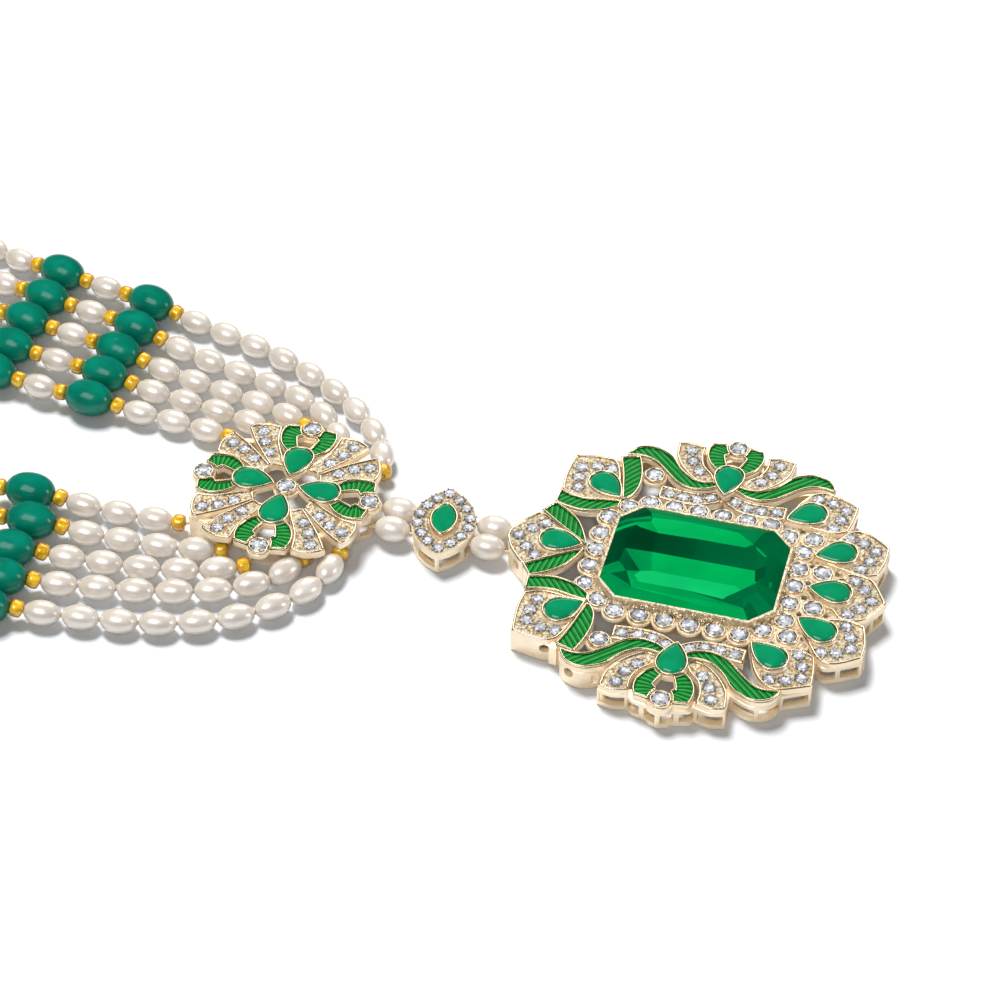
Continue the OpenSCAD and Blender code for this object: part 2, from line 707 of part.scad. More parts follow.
// Running totals of a list
function totals(v, i = 0, sum = 0, out = []) = i == len(v) ? out
    : totals(v, i + 1, sum + v[i], concat(out, [sum + v[i]]));

// Joints of a strand's front as points in space
function joint_points(bundle, side, k) =
    let (p = way(bundle, side, k), along = lengths(p))
    [for (j = joints(bundle[k][0])) let (q = walk(p, along, j[0])) [q[0], q[1], j[1]]];

// Pearls and green beads of a strand's front, each from joint to joint
module strand_beads(bundle, side, k) {
    pts = joint_points(bundle, side, k);
    n = bundle[k][0];
    kinds = concat([for (i = [1 : n]) [i, 0]], [[n + 2, 1], [n + 4, 0], [n + 6, 1], [n + 8, 0]]);
    for (kind = kinds) {
        a = pts[kind[0]];
        b = pts[kind[0] + 1];
        u = b - a;
        translate((a + b) / 2) rotate([0, -asin(u[2] / norm(u)), atan2(u[1], u[0])]) {
            if (kind[1] == 0) color(pearl_white) pearl();
            else color(bead_green) green_bead();
        }
    }
}

// Tube along a list of points in space, with flat ends
module tube(path, r, sides) {
    n = len(path);
    stacked([for (i = [0 : n - 1])
        let (
            d = path[min(i + 1, n - 1)] - path[max(i - 1, 0)],
            side_way = [-d[1], d[0], 0] / norm([d[0], d[1]]),
            up = cross(d / norm(d), side_way)
        )
        [for (j = [0 : sides - 1], turn = 360 * j / sides)
            path[i] + r * (side_way * cos(turn) + up * sin(turn))]]);
}

// Thread of a strand's front, from the medallion's wall on
module strand_thread(bundle, side, k) {
    wall_hole = bundle[k][1];
    tube(
        concat([[wall_hole[0], wall_hole[1], pearl_low]], joint_points(bundle, side, k)),
        thread_d / 2,
        6
    );
}

// Plain tube for the stretch of a strand that runs round the neck
module strand_back(bundle, side, k) color(pearl_white) {
    p = way(bundle, side, k);
    along = lengths(p);
    front = joints(bundle[k][0]);
    start = front[len(front) - 1][0] + gap;
    finish = along[len(along) - 1];
    rings = ceil((finish - start) / 9);
    tube([for (i = [0 : rings])
        let (q = walk(p, along, start + (finish - start) * i / rings)) [q[0], q[1], pearl_low]
    ], pearl_d / 2, 10);
}

module threads(bundle, side) color(thread_gold)
    for (k = [0 : 4]) strand_thread(bundle, side, k);

module clasp() color(gold)
    translate([back_centre[0] - back_r, 0, 0]) {
        half_width = 2 * back_pitch + pearl_d / 2 + wall_t;
        linear_extrude(clasp_h) polygon(cut_rect(half_width, clasp_len / 2, 2));
    }

pendant_frame();
large_stone();
halo_stones();
petal_stones();
pendant_enamel();
pendant_drop(0, 1);  // drop_flower_far
pendant_drop(0, -1);  // drop_flower_near
pendant_drop(1, 1);  // drop_left_far
pendant_drop(1, -1);  // drop_left_near
pendant_drop(4, 1);  // drop_left_axis
pendant_drop(2, 1);  // drop_right_far_1
pendant_drop(2, -1);  // drop_right_near_1
pendant_drop(3, 1);  // drop_right_far_2
pendant_drop(3, -1);  // drop_right_near_2
pendant_drop(5, 1);  // drop_right_axis
medallion_frame();
medallion_stones();
medallion_enamel();
medallion_drop(0);  // medallion_drop_1
medallion_drop(90);  // medallion_drop_2
medallion_drop(180);  // medallion_drop_3
medallion_drop(270);  // medallion_drop_4
leaf_frame();
leaf_stone();
link_pearl(0);  // link_pearl_1
link_pearl(1);  // link_pearl_2
link_pearl(2);  // link_pearl_3
link_pearl(3);  // link_pearl_4
link_threads();
strand_beads(UPPER, 1, 0);  // beads_far_1
strand_beads(UPPER, 1, 1);  // beads_far_2
strand_beads(UPPER, 1, 2);  // beads_far_3
strand_beads(UPPER, 1, 3);  // beads_far_4
strand_beads(UPPER, 1, 4);  // beads_far_5
strand_beads(LOWER, -1, 0);  // beads_near_1
strand_beads(LOWER, -1, 1);  // beads_near_2
strand_beads(LOWER, -1, 2);  // beads_near_3
strand_beads(LOWER, -1, 3);  // beads_near_4
strand_beads(LOWER, -1, 4);  // beads_near_5
threads(UPPER, 1);  // threads_far
threads(LOWER, -1);  // threads_near
strand_back(UPPER, 1, 0);  // back_far_1
strand_back(UPPER, 1, 1);  // back_far_2
strand_back(UPPER, 1, 2);  // back_far_3
strand_back(UPPER, 1, 3);  // back_far_4
strand_back(UPPER, 1, 4);  // back_far_5
strand_back(LOWER, -1, 0);  // back_near_1
strand_back(LOWER, -1, 1);  // back_near_2
strand_back(LOWER, -1, 2);  // back_near_3
strand_back(LOWER, -1, 3);  // back_near_4
strand_back(LOWER, -1, 4);  // back_near_5
clasp();
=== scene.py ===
"""Looks of the layered necklace: cast gold frames, cut stones, ribbed enamel, pearls and glass beads.

Pieces are drawn in millimetres in the part's own frame, and finish_piece turns them into metres. The
floor, the lights and the camera are in metres.
"""
import math
import random

import bpy
from mathutils import Matrix, Vector
from mathutils.geometry import tessellate_polygon


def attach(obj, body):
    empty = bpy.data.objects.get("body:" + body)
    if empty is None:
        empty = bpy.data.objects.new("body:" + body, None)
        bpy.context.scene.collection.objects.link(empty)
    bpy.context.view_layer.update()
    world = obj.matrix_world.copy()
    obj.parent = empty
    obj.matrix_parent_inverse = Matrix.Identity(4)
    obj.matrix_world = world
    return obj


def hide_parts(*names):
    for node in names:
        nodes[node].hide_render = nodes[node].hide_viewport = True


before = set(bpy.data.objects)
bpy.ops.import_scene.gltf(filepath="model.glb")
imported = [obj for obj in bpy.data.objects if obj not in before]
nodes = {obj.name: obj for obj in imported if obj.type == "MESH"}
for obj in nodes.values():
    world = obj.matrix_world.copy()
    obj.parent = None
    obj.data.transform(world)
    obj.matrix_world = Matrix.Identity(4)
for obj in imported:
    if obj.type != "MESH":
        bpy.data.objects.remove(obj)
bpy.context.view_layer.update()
MM = 0.001

# Sizes shared with the part's source
STONE_LEN, STONE_WID, STONE_CUT = 27, 20, 3.2
SETTING_TOP = 5.6
PLATE_TOP, PLATE_T = 4.2, 0.8
HALO_D = 2.6
FLOWER_X = 0.95
DROP_LEN, DROP_WID, DROP_H = 6.1, 4.1, 1.4
MEDALLION_X, MEDALLION_CLEAR, MEDALLION_TOP = 66.2, 4.2, 5.6
LEAF_X, LEAF_TURN = 40.3, 7
PEARL_LEN, PEARL_D = 5.7, 4.0
GREEN_LEN, GREEN_D = 7.8, 6.0
SEED_LEN, SEED_D = 1.6, 2.8
BEAD_GAP = 0.3
LINK_LEN, LINK_D, LINK_Y, LINK_Z = 5.1, 4.2, 2.4, 2.6
BACK_CENTRE, BACK_R, BACK_PITCH = (-222, 13), 55, 5.2
BACK_ANGLES, BACK_JOIN = (62, 90, 118, 146, 172, 180), (0.22, 0.55)
CLASP_WID, CLASP_LEN, CLASP_H = 26.8, 25.4, 4.6

# Round stones, the beads of metal that hold the small ones, the plates under the larger ones, and the
# rim of a bezel (half width, height)
CUP_STONE, SMALL_STONE, LEAF_SMALL_STONE = 2.8, 2.05, 1.85
GRAIN_D, GRAINS_A_STONE = 0.32, 8
SINGLE_PLATE_D, HALO_PLATE_D = HALO_D + 1.4, HALO_D + 1.3
ARM_PLATE_D, CENTRE_PLATE_D = HALO_D + 1.2, HALO_D + 1.6
BEZEL_RIM = (0.2, 0.34)

# Tones of the gold: grainy field, bright rim, brushed side and inside of a wall in painted shade, then some
# between them
FIELD_TONE, RIM_TONE, SIDE_TONE, INNER_SHADE_TONE = 0.0, 1.0, 2.0, 3.0
CUP_PLATE_TONE, SETTING_TONE, UNDER_TONE, BEZEL_TONE = 0.3, 0.45, 0.5, 0.6
BACK_TONE, LEAF_BEZEL_TONE, CLASP_TONE = 0.75, 0.8, 1.7

# Heights on the pendant: plates and rims, then the small stones' girdles and their grains
PLATE_LOW = PLATE_TOP - PLATE_T
PETAL_TOP = PLATE_TOP + 0.25
ROW_LOW, ROW_TOP, STRUT_TOP = PLATE_LOW - 0.8, PLATE_TOP - 0.35, PLATE_LOW + 0.2
WEB_TOP, BRIDGE_TOP = PLATE_TOP - 0.1, PLATE_TOP - 0.2
CUP_PLATE_LOW, CUP_PLATE_TOP = PLATE_LOW + 0.4, PLATE_TOP + 0.14
ARC_TOP = PLATE_TOP + 0.05
ENAMEL_Z, ENAMEL_RIM = PLATE_TOP + 0.15, PLATE_TOP + 0.55
DROP_LOW, BEZEL_TOP = PLATE_TOP + 0.05, PLATE_TOP + 0.75
CUP_GIRDLES, CUP_TOP = PLATE_TOP + 0.4, PLATE_TOP + 0.5
PETAL_GIRDLES, PETAL_GRAINS = PLATE_TOP + 0.26, PLATE_TOP + 0.28
ROW_GIRDLES, ROW_GRAINS = PLATE_TOP - 0.32, PLATE_TOP - 0.3
ARC_GIRDLES, ARC_GRAINS = PLATE_TOP + 0.06, PLATE_TOP + 0.08
WELL_Z = 0.8

# Heights on the medallion and on the leaf link
MEDALLION_FIELD, MEDALLION_WALL_TOP = MEDALLION_TOP - 0.6, MEDALLION_CLEAR + 0.2
MEDALLION_ROW_LOW, MEDALLION_ROW_TOP = MEDALLION_CLEAR - 0.1, MEDALLION_FIELD + 0.3
MEDALLION_ROW_GRAINS = MEDALLION_FIELD + 0.32
MEDALLION_CUP_TOP, MEDALLION_BEZEL_TOP = MEDALLION_TOP + 0.05, MEDALLION_TOP + 0.15
MEDALLION_GIRDLES, MEDALLION_ROW_GIRDLES = MEDALLION_TOP - 0.06, MEDALLION_TOP - 0.3
MEDALLION_ENAMEL_Z, MEDALLION_DROP_LOW = MEDALLION_TOP - 0.45, MEDALLION_TOP - 0.55
LEAF_PLATE_LOW, LEAF_PLATE_TOP, LEAF_BEZEL_TOP = 3.4, 4.3, 4.75
LEAF_STONE_LOW, LEAF_STONE_H, LEAF_GRAINS, LEAF_GIRDLES = 4.2, 1.15, 4.45, 4.5
LEAF_BEZEL_LOW, LEAF_BAR_LOW, LEAF_BAR_TOP = 3.0, 3.2, 4.0

# Side walls: top, thickness and how deep the outer tone reaches before the painted shade inside; windows;
# round holes and how long the rods are that cut them
WALL_TOP, WALL_T, LEAF_WALL_T, OUTER_SKIN = PLATE_LOW + 0.1, 1.0, 0.9, 0.75
WINDOW_LOW, PENDANT_WINDOW_TOP, LEAF_WINDOW_TOP = 0.95, WALL_TOP - 0.75, 2.75
WINDOW_PITCH, POST, SHORTEST_RUN = 3.8, 0.85, 1.8
CUT_DEPTH = 3.4
FLOWER_FROM_X, WINDOWS_FROM_X = -9, -9.5
SIDE_HOLE_D, SIDE_HOLE_Z = 1.65, 2.6
PENDANT_PORT_X, MEDALLION_PORT_X = -28, -52
LINK_PORT_D, STRAND_PORT_D, STRAND_PORT_Z = 1.1, 1.3, 2.05
SIDE_ROD, LINK_ROD, STRAND_ROD = 5, 6, 8

# Setting of the large stone from its plate over the edge and down to the well: half length, half
# width, corner, height
SETTING = [
    (15.5, 12.2, 5, PLATE_LOW), (15.5, 12.2, 5, PLATE_TOP - 0.1), (14.3, 10.8, 3.7, PLATE_TOP + 0.15),
    (14.0, 10.5, 3.4, SETTING_TOP - 0.2), (13.9, 10.4, 3.35, SETTING_TOP),
    (13.56, 10.06, 3.23, SETTING_TOP), (13.5, 10, 3.2, SETTING_TOP - 0.12),
    (STONE_LEN / 2 + 0.2, STONE_WID / 2 + 0.2, STONE_CUT, WELL_Z)]

# Ribs of the enamel: pitch; half widths of the groove and of the painted highlight line and the line's
# place, as shares of it; then the crown, the groove's depth, and the grid that carries them
RIB_PITCH = 0.82
GROOVE_HALF, PAINTED_HIGHLIGHT_HALF, PAINTED_HIGHLIGHT_AT = 0.24, 0.14, 0.38
ENAMEL_CROWN, GROOVE_DEPTH = 0.16, 0.035
ENAMEL_STEP, ENAMEL_ROWS = 0.1, 26

# Beads: height of a lying pearl's middle, bore, thread, pearls of the back, and for each other kind
# its length, width, sides, steps from end to end and how full its ends are
LYING = PEARL_D / 2 + 0.05
BEAD_BORE, THREAD_R = 0.7, 0.25
BACK_PEARL_LEN, BACK_PEARL = PEARL_LEN + 0.25, (PEARL_D, 18, 10, 2.0)
BEADS = {
    "seed": (SEED_LEN + 0.55, SEED_D, 20, 16, 3.4),
    "pearl": (PEARL_LEN + 0.2, PEARL_D, 24, 14, 2.05),
    "green": (GREEN_LEN + 0.35, GREEN_D, 32, 18, 2.1),
    "link": (LINK_LEN + 0.6, LINK_D, 32, 18, 2.05)}

# Clasp from its underside to its top: how far in from its outline, height
CLASP_SIDES = [(0.4, 0.0), (0.0, 0.4), (0.0, CLASP_H - 0.7), (0.25, CLASP_H - 0.35), (0.6, CLASP_H - 0.25)]
CLASP_BORDER, CLASP_BORDER_Z, CLASP_BORDER_RIM = 0.9, CLASP_H - 0.25, (0.3, 0.25)

# Studio, in metres: floor, the place that the lights look at, the room's light, and the camera
FLOOR_X, FLOOR_R, FLOOR_SIDES = -0.13, 0.6, 96
LIT = (-0.05, 0, 0)
ROOM_LIGHT = 0.09
LOOK_AT = Vector((-32.99, 6.68, 4.5)) * MM
FORWARD = Vector((-0.18863, 0.69714, -0.69166))
DISTANCE, LENS = 0.4735, 108

# Places of the round stones, upper half
HALO = [(-15.7, 0), (-15.8, 3.7), (-15.5, 7.6), (-12.9, 10.5), (-9.9, 12.2), (-6.0, 12.2),
        (-2.1, 12.2), (1.8, 12.2), (5.7, 12.2), (9.5, 12.2), (12.7, 10.4), (15.5, 7.6),
        (15.5, 3.8), (15.5, 0), (16.6, 10.8), (19.2, 3.9)]
SINGLES = [(-10.7, 18.7), (FLOWER_X, 28.1)]
PETAL_STONES = [(-28.1, 0), (-26.4, 2.1), (-24.7, 3.6),
                (-21.8, 12.9), (-22.3, 15.2), (-22.3, 17.5), (-19.9, 18.4), (-17.6, 18.5),
                (15.6, 20.0), (18.0, 19.6), (20.2, 18.5), (19.9, 16.2), (19.0, 14.0),
                (22.0, 12.6), (24.3, 12.1), (26.3, 10.7), (25.8, 8.4), (24.8, 6.3),
                (24.5, 3.6), (26.1, 2.1), (27.5, 0)]
ROW_STONES = [(-7.75, 15.8), (-5.35, 15.6), (-3.1, 15.65), (-1.0, 16.5)]
ARC_STONES = [(-6.25, 26.1), (-5.5, 23.75), (-4.05, 21.8)]

# Drop-shaped stones, upper half: nodes, x, y, direction of the tip
FLOWER_DROP_Y = 20.0
DROPS = [(("drop_flower_far", "drop_flower_near"), FLOWER_X, FLOWER_DROP_Y, -90),
         (("drop_left_far", "drop_left_near"), -17.3, 14.0, -39),
         (("drop_right_far_1", "drop_right_near_1"), 14.5, 15.5, 212),
         (("drop_right_far_2", "drop_right_near_2"), 20.5, 8.3, 204),
         (("drop_left_axis",), -21.4, 0, 0),
         (("drop_right_axis",), 21.1, 0, 180)]

# Petals, upper half: runs of points from corner to corner
PETAL_UPPER_LEFT = [
    [(-14.4, 11.7), (-15.4, 15.5), (-16.4, 19.0), (-17.6, 20.6), (-19.8, 20.95), (-24.0, 20.2)],
    [(-24.0, 20.2), (-24.5, 15.4), (-24.2, 11.8)],
    [(-24.2, 11.8), (-21.8, 10.7), (-19.4, 10.6), (-14.4, 11.7)]]
PETAL_RIGHT_1 = [
    [(11.2, 13.6), (12.1, 16.4), (13.0, 18.8), (14.5, 20.9), (16.5, 21.8), (18.4, 21.5), (22.1, 19.8)],
    [(22.1, 19.8), (21.9, 16.8), (21.4, 13.9)],
    [(21.4, 13.9), (19.4, 12.9), (16.5, 13.2), (11.2, 13.6)]]
PETAL_RIGHT_2 = [
    [(17.1, 6.7), (18.3, 9.2), (20.0, 11.6), (21.6, 13.9), (23.5, 14.7), (25.6, 14.0), (28.3, 12.1)],
    [(28.3, 12.1), (28.3, 9.0), (27.5, 5.6)],
    [(27.5, 5.6), (25.0, 4.8), (21.0, 5.7), (17.1, 6.7)]]
# Petals on the long axis, upper half, from the setting to the tip
HALF_RIGHT_AXIS = [(17.4, 0), (19.5, 2.4), (22.0, 3.6), (23.2, 4.9), (25.4, 5.1), (27.4, 4.0), (29.8, 0)]
HALF_LEFT_AXIS = [(-17.5, 0), (-20.3, 2.5), (-22.9, 4.2), (-25.8, 5.9), (-27.5, 4.6), (-29.0, 2.6),
                  (-29.9, 0)]

# Plates that carry the rows and the arcs of small stones
ROW_PLATE = [
    [(-9.3, 17.4), (-9.3, 14.5)],
    [(-9.3, 14.5), (-5.5, 14.1), (-2.2, 14.4), (0.4, 15.7), (0.95, 16.6)],
    [(0.95, 16.6), (-0.6, 17.9), (-3.0, 17.2), (-6.6, 17.2), (-9.3, 17.4)]]
ARC_PLATE = [
    [(-8.7, 27.5), (-6.5, 28.0), (-4.1, 27.4)],
    [(-4.1, 27.4), (-4.2, 25.4), (-3.5, 23.2), (-1.9, 21.5), (-0.9, 19.6)],
    [(-0.9, 19.6), (-2.8, 18.9), (-4.8, 19.8), (-6.8, 21.7), (-8.3, 24.2), (-8.7, 27.5)]]
# Web right of the setting with its small holes, bridge to the far left single stone, a short strut
RIGHT_WEB = [
    [(11.0, 11.8), (13.2, 13.5), (16.5, 13.6), (20.0, 12.2)],
    [(20.0, 12.2), (19.5, 9.6), (18.0, 7.0), (21.0, 5.9), (24.0, 4.9)],
    [(24.0, 4.9), (21.5, 3.0), (18.0, 0)],
    [(18.0, 0), (15.5, 0), (15.0, 7.0), (11.0, 11.8)]]
LEFT_BRIDGE = [(-13.2, 19.2), (-12.8, 18.2), (-9.0, 18.2), (-9.4, 20.2)]
SMALL_HOLES, SMALL_HOLE_D = [(17.4, 1.6), (17.3, 5.3), (18.9, 10.3), (14.5, 12.4), (21.3, 4.6)], 0.9
STRUT = [(-6.6, 12.6), (-5.2, 12.6), (-5.2, 15.0), (-6.6, 15.0)]

# Large stone: outlines of its body below the girdle and of its crown (height, half length, half width,
# corner)
PAVILION = [(0.9, 5.2, 0.9, 0.4), (2.7, 9.8, 5.8, 2.0), (4.5, 13.5, 10.0, 3.2)]
CROWN = [(5.5, 13.5, 10.0, 3.2), (6.15, 12.3, 8.8, 2.8), (6.8, 10.6, 7.1, 2.2)]
# Panes of painted reflection and shade seen through its crown: how high the first lies over it and each
# further one over the last, how much painted light a slope adds, then for each its tone at the left, at the
# right and its corners
PANE_LIFT, PANE_STEP, SLOPE_PAINTED_LIGHT = 0.012, 0.0015, 0.4
PANES = [
    (0.50, 0.36, [(-10.3, 10), (10.3, 10), (9.3, 8.9), (-8.9, 8.2)]),
    (0.62, 0.46, [(-8.9, 8.2), (9.3, 8.9), (8.0, 5.0), (5.3, 6.9), (-3.1, 7.3), (-8.4, 6.7)]),
    (0.52, 0.40, [(-7.5, 7.9), (7.5, 7.9), (5.5, 7.0), (0.5, 7.9)]),
    (0.90, 0.84, [(-8.4, 6.7), (-3.1, 7.3), (5.3, 6.9), (8.0, 5.0), (6.9, 4.0), (-2.3, 3.8), (-6.8, 3.6),
                  (-8.4, 5.8)]),
    (0.05, 0.05, [(-9.9, 4.2), (-6.8, 3.6), (-6.7, -0.7), (-11.0, -0.9), (-11.6, 2.3)]),
    (0.08, 0.13, [(-6.8, 3.6), (-2.3, 3.8), (-0.4, 3.9), (-0.5, -0.7), (-6.7, -0.7)]),
    (0.17, 0.28, [(-0.4, 3.9), (6.9, 4.0), (8.9, 4.3), (9.4, -0.6), (-0.5, -0.7)]),
    (0.80, 0.86, [(-6.7, -0.7), (9.4, -0.6), (9.8, -2.8), (7.5, -4.6), (-5.9, -4.7)]),
    (0.48, 0.62, [(-11.0, -0.9), (-6.7, -0.7), (-5.9, -4.7), (-7.6, -5.2)]),
    (0.98, 0.95, [(-7.6, -5.2), (-5.9, -4.7), (7.5, -4.6), (8.1, -5.3), (5.9, -7.6), (0.2, -7.3),
                  (-7.3, -7.4), (-8.3, -6.3)]),
    (0.62, 0.40, [(-8.2, -8.4), (-7.3, -7.4), (0.2, -7.3), (5.9, -7.6), (9.2, -8.4)]),
    (0.80, 0.50, [(-8.2, -8.4), (9.2, -8.4), (4.0, -9.2)]),
    (0.42, 0.55, [(-8.2, -8.4), (4.0, -9.2), (9.2, -8.4), (10.3, -10), (-10.3, -10)]),
    (0.18, 0.10, [(0.2, -7.3), (5.9, -7.6), (9.2, -8.3), (5.0, -7.9)]),
    (0.16, 0.10, [(-13.5, 6.8), (-10.3, 10), (-8.9, 8.2), (-8.7, 7.1), (-13.5, 5.7)]),
    (0.45, 0.62, [(-13.5, 5.7), (-8.7, 7.1), (-8.5, 6.3), (-13.5, 5.0)]),
    (0.22, 0.30, [(-13.5, 5.0), (-8.5, 6.3), (-8.4, 5.8), (-13.5, 4.2)]),
    (0.86, 0.66, [(-13.5, 4.2), (-8.4, 5.8), (-6.8, 3.6), (-9.9, 4.2), (-10.4, 4.5), (-13.5, 3.4)]),
    (0.10, 0.05, [(-13.5, 3.4), (-10.4, 4.5), (-9.9, 4.2), (-11.6, 2.3), (-11.0, -0.9), (-11.3, -3.7),
                  (-13.5, -4.4)]),
    (0.20, 0.14, [(-11.0, -0.9), (-7.6, -5.2), (-9.6, -5.7), (-11.3, -3.7)]),
    (0.58, 0.42, [(-13.5, -4.4), (-11.3, -3.7), (-9.6, -5.7), (-12.0, -6.2), (-13.5, -5.9)]),
    (0.70, 0.60, [(-9.6, -5.7), (-7.6, -5.2), (-8.3, -6.3), (-7.3, -7.4), (-8.2, -8.4)]),
    (0.12, 0.06, [(-12.0, -6.2), (-9.6, -5.7), (-8.2, -8.4)]),
    (0.50, 0.36, [(-13.5, -5.9), (-12.0, -6.2), (-8.2, -8.4), (-10.3, -10), (-13.5, -6.8)]),
    (0.24, 0.32, [(8.9, 4.3), (8.0, 5.0), (9.3, 8.9), (10.3, 10), (13.5, 6.8), (13.5, 3.0)]),
    (0.30, 0.22, [(8.9, 4.3), (13.5, 3.0), (13.5, -3.4), (9.8, -2.8), (9.4, -0.6)]),
    (0.88, 0.70, [(8.4, 4.6), (8.9, 4.3), (10.6, 2.9), (10.2, 2.7), (8.8, 3.9)]),
    (0.12, 0.20, [(9.4, -0.6), (10.6, 0.8), (11.2, -1.0), (9.9, -3.2)]),
    (0.26, 0.34, [(9.8, -2.8), (13.5, -3.4), (13.5, -6.8), (10.3, -10), (9.2, -8.4), (8.1, -5.3)]),
    (0.16, 0.12, [(10.3, -10), (9.2, -8.4), (9.9, -7.0), (11.6, -8.6)]),
    (0.84, 0.78, [(7.5, -4.6), (9.8, -2.8), (10.2, -3.0), (8.1, -5.3)]),
    (0.60, 0.50, [(11.9, -2.0), (12.4, -1.7), (12.5, -2.8), (12.1, -3.1)])]

# Enamelled leaves, upper half: the two edges from the root outwards in runs from corner to corner, and
# the ribs as lines at an angle or as a number of rays between the edges
LEAVES = [
    ([[(-14.3, 11.5), (-17.0, 11.1), (-19.8, 10.6), (-22.4, 10.9), (-24.3, 11.6)]],
     [[(-14.5, 9.9), (-17.0, 8.3), (-20.0, 7.6), (-22.5, 7.9), (-24.5, 8.5)]], ("lines", 50)),
    ([[(-17.4, 0.6), (-18.2, 2.6), (-19.7, 5.2), (-21.8, 7.1), (-24.3, 8.5)]],
     [[(-17.6, 0.4), (-20.4, 2.2), (-23.2, 4.1), (-26.0, 6.2)]], ("lines", 98)),
    ([[(-14.4, 11.8), (-15.1, 15.0), (-15.8, 18.0), (-16.9, 21.3)]],
     [[(-13.7, 12.0), (-12.6, 13.8), (-12.3, 16.5), (-12.8, 19.5), (-13.8, 22.3)]], ("lines", 53))]
LONG_LEAF = (
    [[(-0.9, 19.5), (-2.6, 19.1), (-4.6, 19.4), (-6.8, 21.0), (-8.6, 23.4), (-10.3, 24.5),
      (-12.2, 25.1), (-14.4, 24.5), (-15.6, 23.2), (-16.0, 22.1)]],
    [[(-0.5, 18.2), (-2.4, 17.2), (-4.8, 16.9), (-7.2, 17.9), (-9.3, 19.9), (-11.3, 21.6),
      (-13.4, 22.3), (-15.8, 22.0)]], ("lines", 137))
# Fan between a drop and the round stone beyond it, from the drop's middle: along, across
FAN = (
    [[(2.0, 2.2), (3.4, 3.7), (5.1, 4.5), (6.8, 4.6), (8.2, 4.2)], [(8.2, 4.2), (8.6, 1.9)]],
    [[(3.1, 0.7), (4.5, 1.3), (5.7, 1.7)], [(5.7, 1.7), (6.4, 0.9)], [(6.4, 0.9), (7.2, 1.5), (8.4, 1.8)]],
    ("rays", 10))

# Outline of the pendant's side wall, upper half: points from the left tip to the right tip
OUTLINE = [
    [(-29.9, 0), (-29.0, 2.7), (-27.5, 4.6), (-26.1, 5.8)], [(-26.1, 5.8), (-24.6, 8.5), (-24.4, 12.0)],
    [(-24.4, 12.0), (-24.6, 15.6), (-24.1, 20.1)],
    [(-24.1, 20.1), (-19.6, 21.0), (-17.4, 21.0), (-16.0, 22.0)],
    [(-16.0, 22.0), (-15.6, 23.4), (-14.4, 24.6), (-12.2, 25.2), (-10.3, 24.7), (-8.7, 23.8)],
    [(-8.7, 23.8), (-8.8, 27.6)], [(-8.8, 27.6), (-6.5, 28.1), (-4.2, 27.6)],
    [(-4.2, 27.6), (-3.4, 28.5), (-1.2, 29.0), (-0.5, 29.6), (0.95, 30.1)]]
OUTLINE_RIGHT = [
    [(10.6, 23.8), (12.2, 24.7), (14.1, 25.2), (16.3, 24.6), (17.5, 23.4), (17.9, 22.0)],
    [(17.9, 22.0), (22.1, 19.8)], [(22.1, 19.8), (21.8, 16.5), (21.7, 14.0)],
    [(21.7, 14.0), (23.5, 14.8), (28.3, 12.2)], [(28.3, 12.2), (28.5, 10.0), (27.6, 5.6)],
    [(27.6, 5.6), (27.6, 4.0), (29.7, 0)]]

# Side wall: round holes (x, y, direction), and a small tab (place, direction, length, width, low end)
SIDE_HOLES = [(-18.6, 21.0, 80), (-13.9, 24.9, 100), (-24.4, 17.4, 178), (-27.5, 4.7, 142)]
TAB = (Vector((-17.0, 21.4)), (1, 0.15), 1.2, 1.1, 0.5)

# Medallion, one quarter of it from its own centre
MEDALLION_ROW = [
    [(1.9, 4.4), (2.6, 6.4), (3.6, 8.3), (4.5, 10.4), (4.9, 13.3)],
    [(4.9, 13.3), (7.0, 13.5), (9.0, 12.9), (10.2, 12.0)],
    [(10.2, 12.0), (8.3, 9.0), (6.3, 6.5), (4.0, 3.9)],
    [(4.0, 3.9), (3.0, 4.5), (1.9, 4.4)]]
MEDALLION_ROW_STONES = [(7.6, 11.5), (6.6, 9.2), (5.1, 7.0)]
MEDALLION_WALL = [
    [(14.6, 0), (14.6, 2.4), (12.4, 4.4), (12.0, 6.8), (9.4, 7.6), (7.6, 9.4), (4.2, 9.8),
     (2.4, 12.4), (0, 12.6), (-2.4, 12.4), (-4.2, 10.4), (-7.6, 10.4), (-9.6, 10.2),
     (-13.1, 9.4)], [(-13.1, 9.4), (-13.2, 4.6), (-14.6, 2.4), (-14.6, 0)]]
ARM_DROP_MID, ARM_STONE = 5.5, 13.8

# Leaf link: small stones of one side (across, along), its edge from the right side to the tip, the
# bar that carries the marquise stone, and half width and half length of the marquise outlines, the
# bezel's at its foot and at its top last
LEAF_STONES = [(0, 6.2), (1.8, 4.8), (3.1, 3.15), (4.0, 1.05), (4.0, -1.05), (3.1, -3.15), (1.8, -4.8)]
LEAF_EDGE = [(4.95, 0), (4.9, 1.6), (4.1, 3.7), (2.8, 5.4), (1.4, 6.6), (0, 7.35)]
LEAF_BAR = [(-3.2, -0.45), (3.2, -0.45), (3.2, 0.45), (-3.2, 0.45)]
LEAF_OPENING, LEAF_BEZEL, LEAF_RIM, LEAF_STONE = (2.7, 4.3), (2.25, 3.75), (2.05, 3.5), (1.85, 3.25)
LEAF_SKIRT = [(2.2, 3.7), (2.15, 3.65)]
LINK_PEARL_X, LINK_PEARL_Y = (-48.1, -32.6), LINK_Y * 0.92

